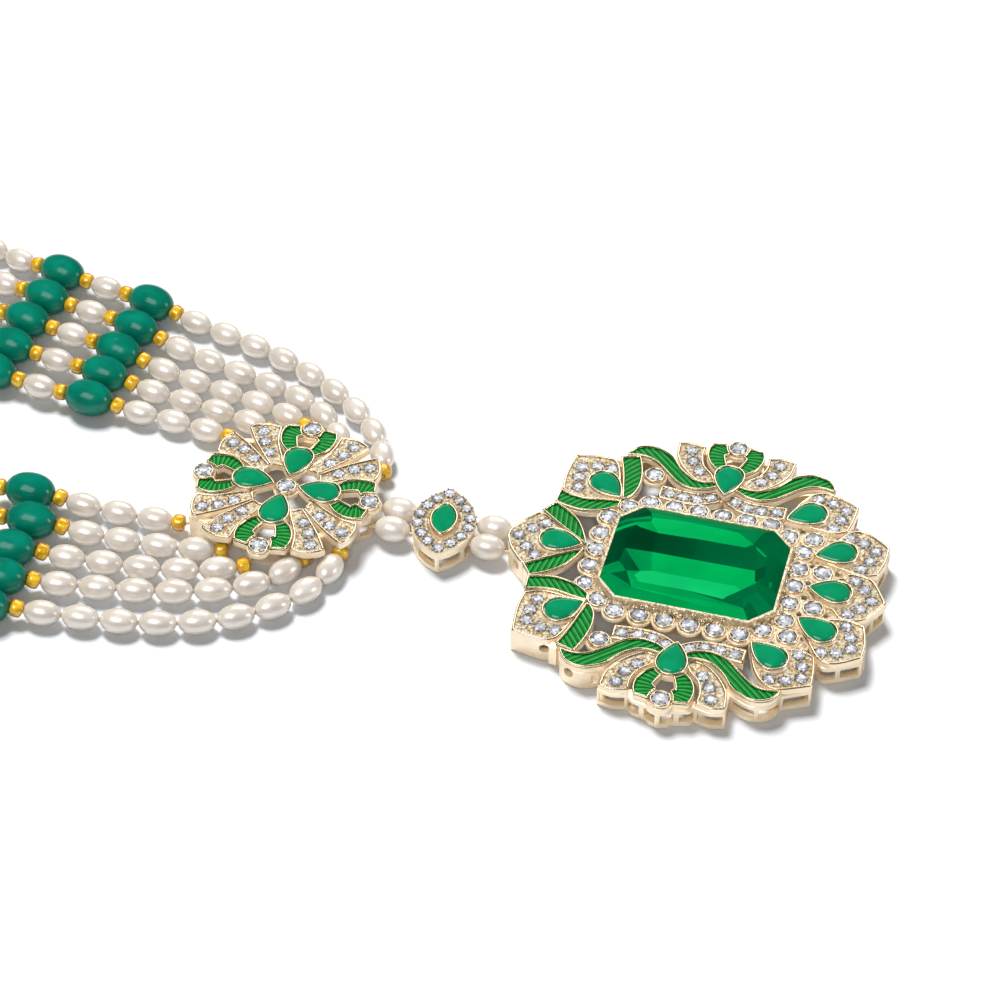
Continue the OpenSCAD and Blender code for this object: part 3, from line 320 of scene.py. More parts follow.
# Strands, outermost first: pearls before the first green bead, wall hole, points of the way
FAR = [
    (9, (-55.3, 6.6), [(-53.2, 9.6), (-54.8, 15.2), (-59.0, 21), (-67, 27.3), (-78, 32.8),
                       (-90, 36.4), (-105, 40), (-118, 42.6), (-132, 46)]),
    (7, (-60.6, 9.1), [(-60.8, 12.2), (-62.9, 17.2), (-67, 21.5), (-73, 24.5), (-80, 26.5),
                       (-89, 28.7), (-105, 33.2), (-116, 35.4), (-130, 38.6)]),
    (5, (-67.4, 12), [(-68.0, 17.3), (-72.6, 19.7), (-78, 21), (-90, 23.3), (-105, 26.7),
                      (-115, 28.7), (-130, 31.8)]),
    (4, (-72.4, 9.9), [(-73.2, 15), (-78, 16.4), (-84, 17.4), (-95, 19), (-105, 20.4),
                       (-115, 21.8), (-130, 25)]),
    (3, (-77.6, 9.3), [(-79.2, 11.9), (-84, 12.5), (-95, 13.6), (-105, 13.9), (-114, 14.6),
                       (-122, 16.2), (-132, 19)])]
NEAR = [
    (9, (-55.3, -6.6), [(-54.6, -7.9), (-54.9, -13.4), (-57.6, -19), (-62.6, -24.2), (-70.6, -28.8),
                        (-82, -31.8), (-97, -33.6), (-110, -36.4), (-124, -40.2)]),
    (7, (-60, -9), [(-59.4, -10.6), (-61.6, -15.4), (-66, -19.3), (-72.4, -22.4), (-82, -24.9),
                    (-97, -27.2), (-110, -29.9), (-124, -33.4)]),
    (5, (-67.2, -12), [(-67.4, -15.2), (-72, -17.4), (-78, -19.2), (-88, -20.5), (-99, -21.3),
                       (-110, -23.3), (-124, -26.7)]),
    (4, (-71.4, -9.9), [(-71.8, -12.8), (-77, -14.2), (-84, -14.9), (-94, -15.2), (-104, -15.4),
                        (-114, -16.9), (-126, -20.4)]),
    (3, (-78.9, -8.4), [(-80.2, -9), (-86, -9.4), (-95, -9.4), (-105, -9.1), (-113, -10),
                        (-124, -12.4)])]


class Shape:
    """Vertices and faces of one piece, in millimetres, with a tone per vertex for its material."""

    def __init__(self):
        self.points = []
        self.faces = []
        self.tones = []
        self.smooth = []

    def add(self, points, faces, tone=0.0, smooth=True):
        """Adds faces over new points. tone is one number or one for each point."""
        start = len(self.points)
        self.points += [Vector(p) for p in points]
        self.tones += list(tone) if isinstance(tone, (list, tuple)) else [tone] * len(points)
        self.faces += [tuple(start + i for i in f) for f in faces]
        self.smooth += [smooth] * len(faces)

    def join(self, other, matrix=Matrix.Identity(4)):
        """Adds a moved, turned or mirrored copy of another shape."""
        start = len(self.points)
        flip = matrix.determinant() < 0
        self.points += [matrix @ p for p in other.points]
        self.tones += other.tones
        for f, smooth in zip(other.faces, other.smooth):
            moved = tuple(start + i for i in f)
            self.faces.append(moved[::-1] if flip else moved)
            self.smooth.append(smooth)


def finish_piece(shape, name, slot, replaces=()):
    """Makes the Blender object of a shape with the look of its slot, and ties it to the part."""
    mesh = bpy.data.meshes.new(name)
    mesh.from_pydata([p * MM for p in shape.points], [], shape.faces)
    mesh.polygons.foreach_set("use_smooth", shape.smooth)
    tone = mesh.attributes.new("tone", "FLOAT", "POINT")
    tone.data.foreach_set("value", shape.tones)
    mesh.materials.append(LOOKS[slot])
    mesh.update()
    piece = bpy.data.objects.new(name, mesh)
    bpy.context.scene.collection.objects.link(piece)
    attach(piece, "root")
    for node in replaces:
        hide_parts(node)


# Flat outlines

def spline(points, steps=5):
    """Smooth curve through points, from the first to the last."""
    pts = [Vector(p) for p in points]
    if len(pts) == 2:
        parts = 4
        return [pts[0].lerp(pts[1], k / parts) for k in range(parts + 1)]
    out = []
    for i in range(len(pts) - 1):
        a, b, c, d = pts[max(i - 1, 0)], pts[i], pts[i + 1], pts[min(i + 2, len(pts) - 1)]
        for k in range(steps):
            t = k / steps
            out.append(0.5 * (2 * b + (c - a) * t + (2 * a - 5 * b + 4 * c - d) * t ** 2
                              + (3 * b - a - 3 * c + d) * t ** 3))
    return out + [pts[-1]]


def joined(runs):
    """Smooth curves through runs of points that meet at corners."""
    out = []
    for run in runs:
        out += spline(run)[:-1]
    return out + [Vector(runs[-1][-1])]


def sides_of(ring):
    """Neighbouring points round a closed outline, in pairs."""
    return list(zip(ring, ring[1:] + ring[:1]))


def area_of(ring):
    """Area inside an outline, below zero if it runs clockwise."""
    return sum(a.cross(b) for a, b in sides_of(ring)) / 2


def length_of(points):
    """Length of the way along a list of points."""
    return sum((b - a).length for a, b in zip(points, points[1:]))


def straight(corners):
    """Runs of an outline with straight sides."""
    return [[a, b] for a, b in sides_of(corners)]


def outline(runs):
    """Closed outline from runs that meet at corners, turned anticlockwise."""
    ring = joined(runs)[:-1]
    return ring if area_of(ring) > 0 else ring[::-1]


def mirrored(points):
    """Points in the lower half, in reverse order."""
    return [(p[0], -p[1]) for p in points[::-1]]


def circle(x, y, d, n=24):
    """Round outline of diameter d with n corners."""
    angles = [2 * math.pi * k / n for k in range(n)]
    return [Vector((x + d / 2 * math.cos(a), y + d / 2 * math.sin(a))) for a in angles]


def cut_rect(a, b, c):
    """Rectangle with cut corners, anticlockwise, from half its length, half its width and the cut."""
    return [Vector(p) for p in ((a, b - c), (a - c, b), (c - a, b), (-a, b - c),
                                (-a, c - b), (c - a, -b), (a - c, -b), (a, c - b))]


def drop_ring(length, width, n=40):
    """Outline of a drop with its tip along +X."""
    fullness, widest = 0.85, 0.772
    ring = []
    for k in range(n):
        t = 2 * math.pi * k / n
        side = math.sin(t) * abs(math.sin(t / 2)) ** fullness / widest
        ring.append(Vector((length / 2 * math.cos(t), width / 2 * side)))
    return ring


def marquise(half_width, half_length, n=14):
    """Leaf outline from two arcs, long axis along Y, anticlockwise."""
    r = (half_width ** 2 + half_length ** 2) / (2 * half_width)
    reach = math.asin(half_length / r)
    angles = [reach * (2 * k / n - 1) for k in range(n)]
    right = [Vector((half_width - r + r * math.cos(a), r * math.sin(a))) for a in angles]
    return right + [Vector((-p.x, -p.y)) for p in right]


def turned(ring, angle, x=0.0, y=0.0):
    """Outline turned by an angle in degrees and moved."""
    c, s = math.cos(math.radians(angle)), math.sin(math.radians(angle))
    return [Vector((x + p.x * c - p.y * s, y + p.x * s + p.y * c)) for p in ring]


def ring_normals(ring, closed=True):
    """Normal of each point to the left of the way, longer at bends so that widths hold."""
    n = len(ring)
    sharpest = 0.6
    out = []
    for i, p in enumerate(ring):
        before = ring[i - 1] if closed or i else p
        after = ring[(i + 1) % n] if closed or i < n - 1 else p
        u = (p - before) if (p - before).length > 1e-6 else (after - p)
        v = (after - p) if (after - p).length > 1e-6 else (p - before)
        u, v = u.normalized(), v.normalized()
        a, b = Vector((-u.y, u.x)), Vector((-v.y, v.x))
        out.append((a + b) / max(sharpest, 1 + a.dot(b)))
    return out


def inset(ring, d):
    """Anticlockwise outline moved inwards by d."""
    return [p + m * d for p, m in zip(ring, ring_normals(ring))]


def at_height(ring, z):
    """Flat outline lifted to a height."""
    return [Vector((p.x, p.y, z)) for p in ring]


def stepped(ring, profile):
    """Copies of an anticlockwise outline, moved inwards and lifted by each (inset, height) pair."""
    return [at_height(inset(ring, d), z) for d, z in profile]


def above_axis(places):
    """Places in the upper half."""
    return [p for p in places if p[1] > 0]


def on_axis(places):
    """Places on the long axis."""
    return [p for p in places if p[1] == 0]


def both_sides(places):
    """Places on the axis and above it, with the ones above it repeated below."""
    return places + [(x, -y) for x, y in above_axis(places)]


# Solid forms

def skin(shape, rings, tone=FIELD_TONE, smooth=True, ends=True):
    """Faces between rings of equal length, with flat ends."""
    m = len(rings[0])
    faces = [(i * m + j, i * m + (j + 1) % m, (i + 1) * m + (j + 1) % m, (i + 1) * m + j)
             for i in range(len(rings) - 1) for j in range(m)]
    shape.add([p for r in rings for p in r], faces, tone, smooth)
    if ends:
        cap(shape, [rings[-1]], tone, up=True)
        cap(shape, [rings[0]], tone, up=False)


def cap(shape, loops, tone=FIELD_TONE, up=True):
    """Flat face over loops; loops after the first are holes in it."""
    points = [p for loop in loops for p in loop]
    faces = []
    for a, b, c in tessellate_polygon(loops):
        pa, pb, pc = points[a], points[b], points[c]
        rising = (pb.x - pa.x) * (pc.y - pa.y) - (pb.y - pa.y) * (pc.x - pa.x) > 0
        faces.append((a, b, c) if rising == up else (a, c, b))
    shape.add(points, faces, tone, smooth=False)


def slab(shape, ring, low, high, edge=0.14, tone=FIELD_TONE, holes=()):
    """Plate with softly rounded upper edges and round holes (x, y, diameter) through it."""
    corner = edge * 0.3
    sides = stepped(ring, ((0, low), (0, high - edge), (corner, high - corner), (edge, high)))
    skin(shape, sides, SIDE_TONE, ends=False)
    walls = [circle(x, y, d) for x, y, d in holes]
    cap(shape, [sides[-1]] + [at_height(w, high) for w in walls], tone, up=True)
    cap(shape, [sides[0]] + [at_height(w, low) for w in walls], tone, up=False)
    for wall in walls:
        skin(shape, [at_height(wall, high), at_height(wall, low)], tone, ends=False)


def ridge(shape, path, z, half_width, height, sides=8):
    """Bright raised rim along a closed path, sunk a little into what carries it."""
    rings = []
    for k in range(sides):
        a = 2 * math.pi * k / sides
        reach = half_width * math.cos(a)
        rings.append([Vector((p.x + m.x * reach, p.y + m.y * reach, z + height * math.sin(a)))
                      for p, m in zip(path, ring_normals(path))])
    rings.append(rings[0])
    skin(shape, rings, RIM_TONE, ends=False)


def lathe(shape, profile, matrix, sides=24, tone=0.0):
    """Solid of revolution round Z from (radius, height) pairs."""
    rings = [[matrix @ p for p in at_height(circle(0, 0, 2 * r, sides), z)] for r, z in profile]
    skin(shape, rings, tone, ends=False)


def cup(shape, x, y, z):
    """Round cup with a bright rim for one of the larger round stones; z is the rim's height."""
    inner, outer, low = CUP_STONE / 2 - 0.03, CUP_STONE / 2 + 0.25, z - 0.6
    profile = [(outer + 0.06, low), (outer, z - 0.16), (outer - 0.07, z - 0.04), (outer - 0.17, z),
               (inner + 0.06, z - 0.03), (inner - 0.02, z - 0.14), (inner - 0.05, low), (outer + 0.06, low)]
    lathe(shape, profile, Matrix.Translation((x, y, 0)), tone=RIM_TONE)


def grain(shape, x, y, z, d, tone=RIM_TONE):
    """Small round bead of metal that holds a stone."""
    r = d / 2
    profile = [(r, z - 0.15)] + [(r * math.cos(a), z + r * math.sin(a)) for a in (0.0, 0.5, 1.0, 1.4)]
    lathe(shape, profile + [(0.0, z + r)], Matrix.Translation((x, y, 0)), sides=8, tone=tone)


def grains_round(shape, places, z, d=SMALL_STONE):
    """Grains round the place of each stone of diameter d."""
    reach = d / 2 + 0.14
    for x, y in places:
        for k in range(GRAINS_A_STONE):
            a = 2 * math.pi * (k + 0.5) / GRAINS_A_STONE
            grain(shape, x + reach * math.cos(a), y + reach * math.sin(a), z, GRAIN_D)


def facet(shape, points, tone):
    """One flat face."""
    shape.add(points, [tuple(range(len(points)))], tone, smooth=False)


def round_stone(shape, x, y, z, d, rng):
    """Round brilliant: table, stars, kites, girdle halves and a cone below. z is the girdle's height.

    Each facet's brightness is a painted reflection, drawn from a few choices.
    """
    r = d / 2
    turn = rng.uniform(0, math.pi / 4)

    def ring(radius, height, n, shift=0.0):
        angles = [turn + 2 * math.pi * (k + shift) / n for k in range(n)]
        return [Vector((x + radius * math.cos(a), y + radius * math.sin(a), z + height)) for a in angles]

    def tone(points, choices):
        """Painted light: facets that look up the picture are painted darker and those that look down it as
        catching the light.
        """
        middle = sum(points, Vector()) / len(points) - Vector((x, y, 0))
        painted_light_slant = (0.45 * middle.x - 0.9 * middle.y) / r
        return min(1.0, max(0.0, rng.choice(choices) + 0.22 * painted_light_slant))

    table = ring(r * 0.52, r * 0.2, 8)
    middle = ring(r * 0.75, r * 0.14, 8, 0.5)
    girdle = ring(r, 0.0, 16)
    base = ring(r, -r * 0.1, 16)
    centre = Vector((x, y, z + r * 0.2))
    for k in range(8):
        after, edge, next_edge = (k + 1) % 8, girdle[2 * k + 1], girdle[(2 * k + 2) % 16]
        for points, choices in (
                ([centre, table[k], table[after]], (0.45, 0.6, 0.8, 1.0)),
                ([table[k], middle[k], table[after]], (0.2, 0.4, 0.6)),
                ([table[after], middle[k], next_edge, middle[after]], (0.35, 0.6, 0.9)),
                ([middle[k], girdle[2 * k], edge], (0.0, 0.0, 0.1)),
                ([middle[k], edge, next_edge], (0.05, 0.35, 0.7))):
            facet(shape, points, tone(points, choices))
    culet = Vector((x, y, z - r * 0.75))
    for k in range(16):
        after = (k + 1) % 16
        facet(shape, [girdle[k], base[k], base[after], girdle[after]], 0.2)
        facet(shape, [base[k], culet, base[after]], 0.3)


def dome(shape, ring, low, height, centre, side=0.6, steps=7):
    """Cabochon over an outline, standing on a straight side."""
    mid = Vector(centre)
    rings = [at_height(ring, low)]
    for k in range(steps):
        a = 0.5 * math.pi * k / steps
        scaled = [mid + (p - mid) * math.cos(a) for p in ring]
        rings.append(at_height(scaled, low + side + (height - side) * math.sin(a)))
    skin(shape, rings, ends=False)
    top = [Vector((mid.x, mid.y, low + height))]
    m = len(ring)
    shape.add(rings[-1] + top, [(k, (k + 1) % m, m) for k in range(m)])
    cap(shape, [rings[0]], up=False)


def along(points, t):
    """Point at a share of the length of a list of points."""
    reach = [0.0]
    for a, b in zip(points, points[1:]):
        reach.append(reach[-1] + (b - a).length)
    goal = t * reach[-1]
    for i in range(1, len(reach)):
        if reach[i] >= goal or i == len(reach) - 1:
            step = reach[i] - reach[i - 1]
            return points[i - 1].lerp(points[i], (goal - reach[i - 1]) / step if step else 0.0)


def leaf_ring(leaf):
    """Outline of a leaf from its two edges, anticlockwise."""
    one, two = leaf[0], leaf[1]
    back = [run[::-1] for run in two[::-1]]
    return outline(one + [[one[-1][-1], two[-1][-1]]] + back + [[two[0][0], one[0][0]]])


def placed_edges(leaf, place):
    """Leaf with each point of its edges moved by a function."""
    return tuple([[place(x, y) for x, y in run] for run in edge] for edge in leaf[:2]) + (leaf[2],)


def enamel(shape, leaf, z):
    """Enamel between a leaf's edges on a low crown, with narrow grooves between its ribs.

    Tone is 0 in a groove, 0.6 on a rib and 1 on the painted highlight line beside the groove.
    """
    one, two = joined(leaf[0]), joined(leaf[1])
    kind, value = leaf[2]
    columns, rows = int(max(length_of(one), length_of(two)) / ENAMEL_STEP), ENAMEL_ROWS
    across = Vector((-math.sin(math.radians(value)), math.cos(math.radians(value))))
    points, tones = [], []
    for i in range(columns + 1):
        a, b = along(one, i / columns), along(two, i / columns)
        for j in range(rows + 1):
            p = a.lerp(b, 0.05 + 0.9 * j / rows)
            phase = p.dot(across) / RIB_PITCH if kind == "lines" else value * i / columns
            u = (phase % 1.0) if phase % 1.0 < 0.6 else phase % 1.0 - 1
            groove = max(0.0, 1 - abs(u) / GROOVE_HALF)
            # Painted highlight on the line beside each groove.
            light = max(0.0, 1 - abs(u - PAINTED_HIGHLIGHT_AT) / PAINTED_HIGHLIGHT_HALF)
            crown = ENAMEL_CROWN * math.sqrt(max(0.0, math.sin(math.pi * j / rows)))
            points.append(Vector((p.x, p.y, z + crown - GROOVE_DEPTH * groove)))
            tones.append(0.6 * (1 - groove) + 0.4 * light)
    width = rows + 1
    faces = [(i * width + j, (i + 1) * width + j, (i + 1) * width + j + 1, i * width + j + 1)
             for i in range(columns) for j in range(rows)]
    middle = faces[(columns // 2) * rows + rows // 2]
    a, b, c = (points[middle[k]] for k in range(3))
    if (b - a).cross(c - a).z < 0:
        faces = [f[::-1] for f in faces]
    shape.add(points, faces, tones)


# Materials

def node_group(name, inputs, outputs, build):
    """Shader node group with named number inputs and named outputs."""
    group = bpy.data.node_groups.new(name, "ShaderNodeTree")
    for label, value in inputs.items():
        socket = group.interface.new_socket(label, in_out="INPUT", socket_type="NodeSocketFloat")
        socket.default_value = value
    for label, kind in outputs.items():
        group.interface.new_socket(label, in_out="OUTPUT", socket_type=kind)
    build(group, group.nodes.new("NodeGroupInput"), group.nodes.new("NodeGroupOutput"))
    return group


def add(tree, kind, **values):
    """New node with its settings and the values of its inputs."""
    node = tree.nodes.new(kind)
    for key, value in values.items():
        if hasattr(node, key):
            setattr(node, key, value)
        else:
            node.inputs[key.replace("_", " ")].default_value = value
    return node


def map_value(tree, value, low, high, start=0.0, end=1.0):
    """Value from start..end spread to low..high."""
    node = add(tree, "ShaderNodeMapRange", From_Min=start, From_Max=end, To_Min=low, To_Max=high)
    tree.links.new(value, node.inputs["Value"])
    return node.outputs["Result"]


def build_grain(group, source, sink):
    """Granulated surface: small domes with gaps between them and fine noise, as a height and as a factor for
    painted shade in the gaps and painted glints on the domes.
    """
    links = group.links
    place = add(group, "ShaderNodeTexCoord")
    fine = add(group, "ShaderNodeTexNoise", Detail=3.0, Roughness=0.6)
    cells = add(group, "ShaderNodeTexVoronoi")
    domes = add(group, "ShaderNodeMath", operation="MULTIPLY")
    height = add(group, "ShaderNodeMath", operation="SUBTRACT")
    for texture in (fine, cells):
        links.new(place.outputs["Object"], texture.inputs["Vector"])
        links.new(source.outputs["Scale"], texture.inputs["Scale"])
    links.new(cells.outputs["Distance"], domes.inputs[0])
    links.new(source.outputs["Domes"], domes.inputs[1])
    links.new(fine.outputs["Fac"], height.inputs[0])
    links.new(domes.outputs[0], height.inputs[1])
    links.new(height.outputs[0], sink.inputs["Height"])
    links.new(map_value(group, height.outputs[0], 0.0, 1.0, -0.35, 0.5), sink.inputs["Mask"])


def build_drift(group, source, sink):
    """Slow change over the surface, from 0 to 1."""
    place = add(group, "ShaderNodeTexCoord")
    noise = add(group, "ShaderNodeTexNoise", Detail=1.5)
    group.links.new(place.outputs["Object"], noise.inputs["Vector"])
    group.links.new(source.outputs["Scale"], noise.inputs["Scale"])
    group.links.new(map_value(group, noise.outputs["Fac"], 0.0, 1.0, 0.35, 0.65), sink.inputs["Drift"])


GRAIN = node_group("cast_grain", {"Scale": 3000.0, "Domes": 0.5},
                   {"Height": "NodeSocketFloat", "Mask": "NodeSocketFloat"}, build_grain)
DRIFT = node_group("slow_drift", {"Scale": 200.0}, {"Drift": "NodeSocketFloat"}, build_drift)


def grain_of(tree, scale, domes):
    """Height of a granulated surface, and the factor of its painted shade and glints."""
    node = add(tree, "ShaderNodeGroup", node_tree=GRAIN)
    node.inputs["Scale"].default_value = scale
    node.inputs["Domes"].default_value = domes
    return node.outputs["Height"], node.outputs["Mask"]


def drift_of(tree, scale):
    """Slow change over the surface."""
    node = add(tree, "ShaderNodeGroup", node_tree=DRIFT)
    node.inputs["Scale"].default_value = scale
    return node.outputs["Drift"]


def tone_of(tree):
    """Tone that the shape was given point by point."""
    return add(tree, "ShaderNodeAttribute", attribute_name="tone").outputs["Fac"]


def new_material(name, **shader):
    """Material with a Principled shader, whose fixed values are set on its own sockets."""
    material = bpy.data.materials.new(name)
    material.use_nodes = True
    surface = material.node_tree.nodes["Principled BSDF"]
    for key, value in shader.items():
        surface.inputs[key.replace("_", " ")].default_value = value
    return material, material.node_tree, surface


def mix_colours(tree, factor, first, second):
    """Mix of two colours; each is a socket or three numbers."""
    mix = add(tree, "ShaderNodeMix", data_type="RGBA")
    tree.links.new(factor, mix.inputs["Factor"])
    for socket, value in ((mix.inputs["A"], first), (mix.inputs["B"], second)):
        if isinstance(value, bpy.types.NodeSocket):
            tree.links.new(value, socket)
        else:
            socket.default_value = value + (1,)
    return mix.outputs["Result"]


def bump(tree, surface, height, distance, strength=1.0):
    """Gives a shader small bumps. Returns the node, so that its strength can vary."""
    node = add(tree, "ShaderNodeBump", Strength=strength, Distance=distance)
    tree.links.new(height, node.inputs["Height"])
    tree.links.new(node.outputs["Normal"], surface.inputs["Normal"])
    return node


def colour_ramp(tree, value, stops):
    """Colour for a value from (place, colour) pairs."""
    node = add(tree, "ShaderNodeValToRGB")
    ramp = node.color_ramp
    while len(ramp.elements) < len(stops):
        ramp.elements.new(0.5)
    for element, (place, colour) in zip(ramp.elements, stops):
        element.position = place
        element.color = colour + (1,)
    tree.links.new(value, node.inputs["Fac"])
    return node.outputs["Color"]


def shaded(tree, colour, factor, low):
    """Colour darkened a little where factor is small."""
    dim = add(tree, "ShaderNodeVectorMath", operation="SCALE")
    tree.links.new(colour, dim.inputs[0])
    tree.links.new(map_value(tree, factor, low, 1.0), dim.inputs["Scale"])
    return dim.outputs["Vector"]


def edged(tree, colour, painted_edge_colour, blend):
    """Colour that changes towards the outline of a round piece: painted shade at its edges."""
    edge = add(tree, "ShaderNodeLayerWeight", Blend=blend)
    return mix_colours(tree, edge.outputs["Facing"], colour, painted_edge_colour)


def dress(tree, surface, colour, drift, smoothest, roughest):
    """Gives a shader its colour and a roughness that drifts over the surface."""
    tree.links.new(colour, surface.inputs["Base Color"])
    tree.links.new(map_value(tree, drift, smoothest, roughest), surface.inputs["Roughness"])


def gold_metal():
    """Cast gold. Tone 0 is a warm grainy field with painted shade in its gaps and painted glints on its
    grains, 1 a pale rim, 2 a brushed side and 3 the inside of a wall in painted shade and reflected gold
    light.
    """
    material, tree, surface = new_material("cast_gold")
    tone = tone_of(tree)
    drift = drift_of(tree, 260.0)
    height, grain_shade_and_glint = grain_of(tree, 2100.0, 0.9)
    # Painted shade in the gaps between the grains and painted glints on their tops.
    field = mix_colours(tree, map_value(tree, grain_shade_and_glint, -0.15, 1.35), (0.48, 0.28, 0.06), (1.0, 0.96, 0.80))
    rim = mix_colours(tree, drift, (0.90, 0.71, 0.46), (0.97, 0.82, 0.61))
    side = mix_colours(tree, drift, (0.90, 0.74, 0.53), (0.96, 0.82, 0.62))
    # Inside of a wall in a deeper gold: painted shade and painted reflected gold light.
    inside = map_value(tree, tone, 0.0, 1.0, SIDE_TONE, INNER_SHADE_TONE)
    walls = mix_colours(tree, inside, side, (0.86, 0.62, 0.27))
    bright = map_value(tree, tone, 1.0, 0.3, RIM_TONE, SIDE_TONE)
    colour = mix_colours(tree, bright, walls, mix_colours(tree, tone, field, rim))
    tree.links.new(colour, surface.inputs["Base Color"])
    metal = add(tree, "ShaderNodeMath", operation="MULTIPLY")
    tree.links.new(map_value(tree, tone, 0.68, 1.0), metal.inputs[0])
    tree.links.new(bright, metal.inputs[1])
    tree.links.new(metal.outputs["Value"], surface.inputs["Metallic"])
    tree.links.new(map_value(tree, tone, 0.34, 0.24), surface.inputs["Roughness"])
    grains = bump(tree, surface, height, 0.00028)
    tree.links.new(map_value(tree, tone, 1.0, 0.08), grains.inputs["Strength"])
    return material


def toned_material(name, scale, stops, shade, roughness, **shader):
    """Material whose colour follows the tone of its shape, which carries painted reflections and highlights,
    a little darker here and there.
    """
    material, tree, surface = new_material(name, **shader)
    drift = drift_of(tree, scale)
    colour = colour_ramp(tree, tone_of(tree), stops)
    dress(tree, surface, shaded(tree, colour, drift, shade), drift, *roughness)
    return material


def green_enamel():
    """Enamel over ribs: deep in the grooves, with a painted highlight on the line beside them."""
    stops = [(0.0, (0.001, 0.040, 0.004)), (0.6, (0.002, 0.160, 0.016)), (1.0, (0.045, 0.32, 0.10))]
    return toned_material("ribbed_enamel", 900.0, stops, 0.82, (0.22, 0.34), IOR=1.5,
                          Specular_IOR_Level=0.05)


def white_stone():
    """Cut white stone: each facet's tone is a painted reflection of a lighter or darker part of the room."""
    stops = [(0.0, (0.025, 0.025, 0.035)), (0.4, (0.18, 0.185, 0.202)), (1.0, (0.59, 0.597, 0.615))]
    return toned_material("white_stone", 1500.0, stops, 0.8, (0.04, 0.12), IOR=1.7, Specular_IOR_Level=0.3)


def emerald():
    """Step-cut green stone: each pane's tone is painted reflection and shade, how light or dark the stone's
    depth looks behind it.
    """
    stops = [(0.0, (0.0, 0.018, 0.006)), (0.4, (0.0, 0.125, 0.038)), (0.85, (0.0, 0.29, 0.064)),
             (1.0, (0.004, 0.385, 0.108))]
    return toned_material("step_cut_green", 160.0, stops, 0.86, (0.10, 0.16), IOR=1.5,
                          Specular_IOR_Level=0.008)


def drop_stone():
    """Opaque polished green cabochon."""
    material, tree, surface = new_material("green_cabochon", IOR=1.5, Specular_IOR_Level=0.6)
    drift = drift_of(tree, 420.0)
    colour = mix_colours(tree, drift, (0.0, 0.19, 0.076), (0.0, 0.23, 0.096))
    dress(tree, surface, colour, drift, 0.08, 0.13)
    return material


def pearl():
    """Creamy nacre with a soft sheen, a little light from within by subsurface scattering, a faint painted
    glow from emission, and painted edge shade that makes it greyer towards the edges.
    """
    # Emission gives a faint painted glow that lifts the pearl's shade.
    material, tree, surface = new_material("nacre", Metallic=0.25, IOR=1.6, Specular_IOR_Level=1.0,
                                           Coat_Weight=1.0, Coat_Roughness=0.12,
                                           Subsurface_Weight=0.6, Subsurface_Scale=0.0016,
                                           Subsurface_Radius=(1.0, 0.85, 0.65),
                                           Emission_Color=(1.0, 0.9, 0.82, 1), Emission_Strength=0.1)
    drift = drift_of(tree, 330.0)
    veil = mix_colours(tree, drift, (0.555, 0.50, 0.445), (0.635, 0.59, 0.545))
    # Darker, yellower colour towards the outline: painted edge shade.
    dress(tree, surface, edged(tree, veil, (0.51, 0.44, 0.31), 0.35), drift, 0.28, 0.36)
    bump(tree, surface, grain_of(tree, 700.0, 0.1)[0], 0.00004, 0.3)
    return material


def green_bead():
    """Deep green glass with cloudy depth, darker towards its outline in painted edge shade."""
    material, tree, surface = new_material("green_glass_bead", IOR=1.5, Specular_IOR_Level=0.32)
    drift = drift_of(tree, 300.0)
    colour = mix_colours(tree, drift, (0.0, 0.135, 0.086), (0.0, 0.19, 0.123))
    # Darker towards the outline: painted edge shade.
    dress(tree, surface, edged(tree, colour, (0.0, 0.085, 0.056), 0.3), drift, 0.14, 0.22)
    return material


def gold_bead():
    """Amber-gold glass: bright in the middle, and dark orange towards the edges in painted edge shade."""
    material, tree, surface = new_material("gold_glass_bead", Metallic=0.15, IOR=1.5, Coat_Weight=1.0,
                                           Coat_Roughness=0.04)
    drift = drift_of(tree, 900.0)
    bright = mix_colours(tree, drift, (0.58, 0.29, 0.0), (0.88, 0.58, 0.03))
    # Dark orange towards the outline: painted edge shade.
    dress(tree, surface, edged(tree, bright, (0.33, 0.10, 0.0), 0.45), drift, 0.12, 0.25)
    return material


def beading_thread():
    """Twisted pale gold thread."""
    material, tree, surface = new_material("beading_thread", Roughness=0.6)
    place = add(tree, "ShaderNodeTexCoord")
    wave = add(tree, "ShaderNodeTexWave", Scale=1400.0, Distortion=0.4, bands_direction="DIAGONAL")
    tree.links.new(place.outputs["Object"], wave.inputs["Vector"])
    colour = mix_colours(tree, wave.outputs["Fac"], (0.42, 0.31, 0.14), (0.72, 0.58, 0.33))
    tree.links.new(colour, surface.inputs["Base Color"])
    bump(tree, surface, wave.outputs["Fac"], 0.00005, 0.6)
    return material


# Look of each slot
LOOKS = {"gold_metal": gold_metal(), "green_enamel": green_enamel(), "white_stone": white_stone(),
         "drop_stone": drop_stone(), "emerald_stone": emerald(), "pearl": pearl(),
         "green_bead": green_bead(), "gold_bead": gold_bead(), "thread": beading_thread()}

FLIP_Y = Matrix.Scale(-1, 4, (0, 1, 0))
FLIP_FLOWER = Matrix.Translation((2 * FLOWER_X, 0, 0)) @ Matrix.Scale(-1, 4, (1, 0, 0))


def placed(shape, matrix):
    """Moved, turned or mirrored copy of a shape."""
    copy = Shape()
    copy.join(shape, matrix)
    return copy


def in_both_halves(half):
    """Shape with a copy mirrored to the lower half."""
    whole = Shape()
    whole.join(half)
    whole.join(half, FLIP_Y)
    return whole


def on_flower(x, y):
    """Place on a small flower of something given from its drop's middle."""
    return (FLOWER_X - y, FLOWER_DROP_Y + x)


def on_arm(x, y):
    """Place on the medallion's arm of something given from its drop's middle."""
    return (ARM_DROP_MID + x, y)


FLOWER_LEAVES = [LONG_LEAF, placed_edges(FAN, on_flower)]
ARM_FAN = placed_edges(FAN, on_arm)


# Parts of the castings

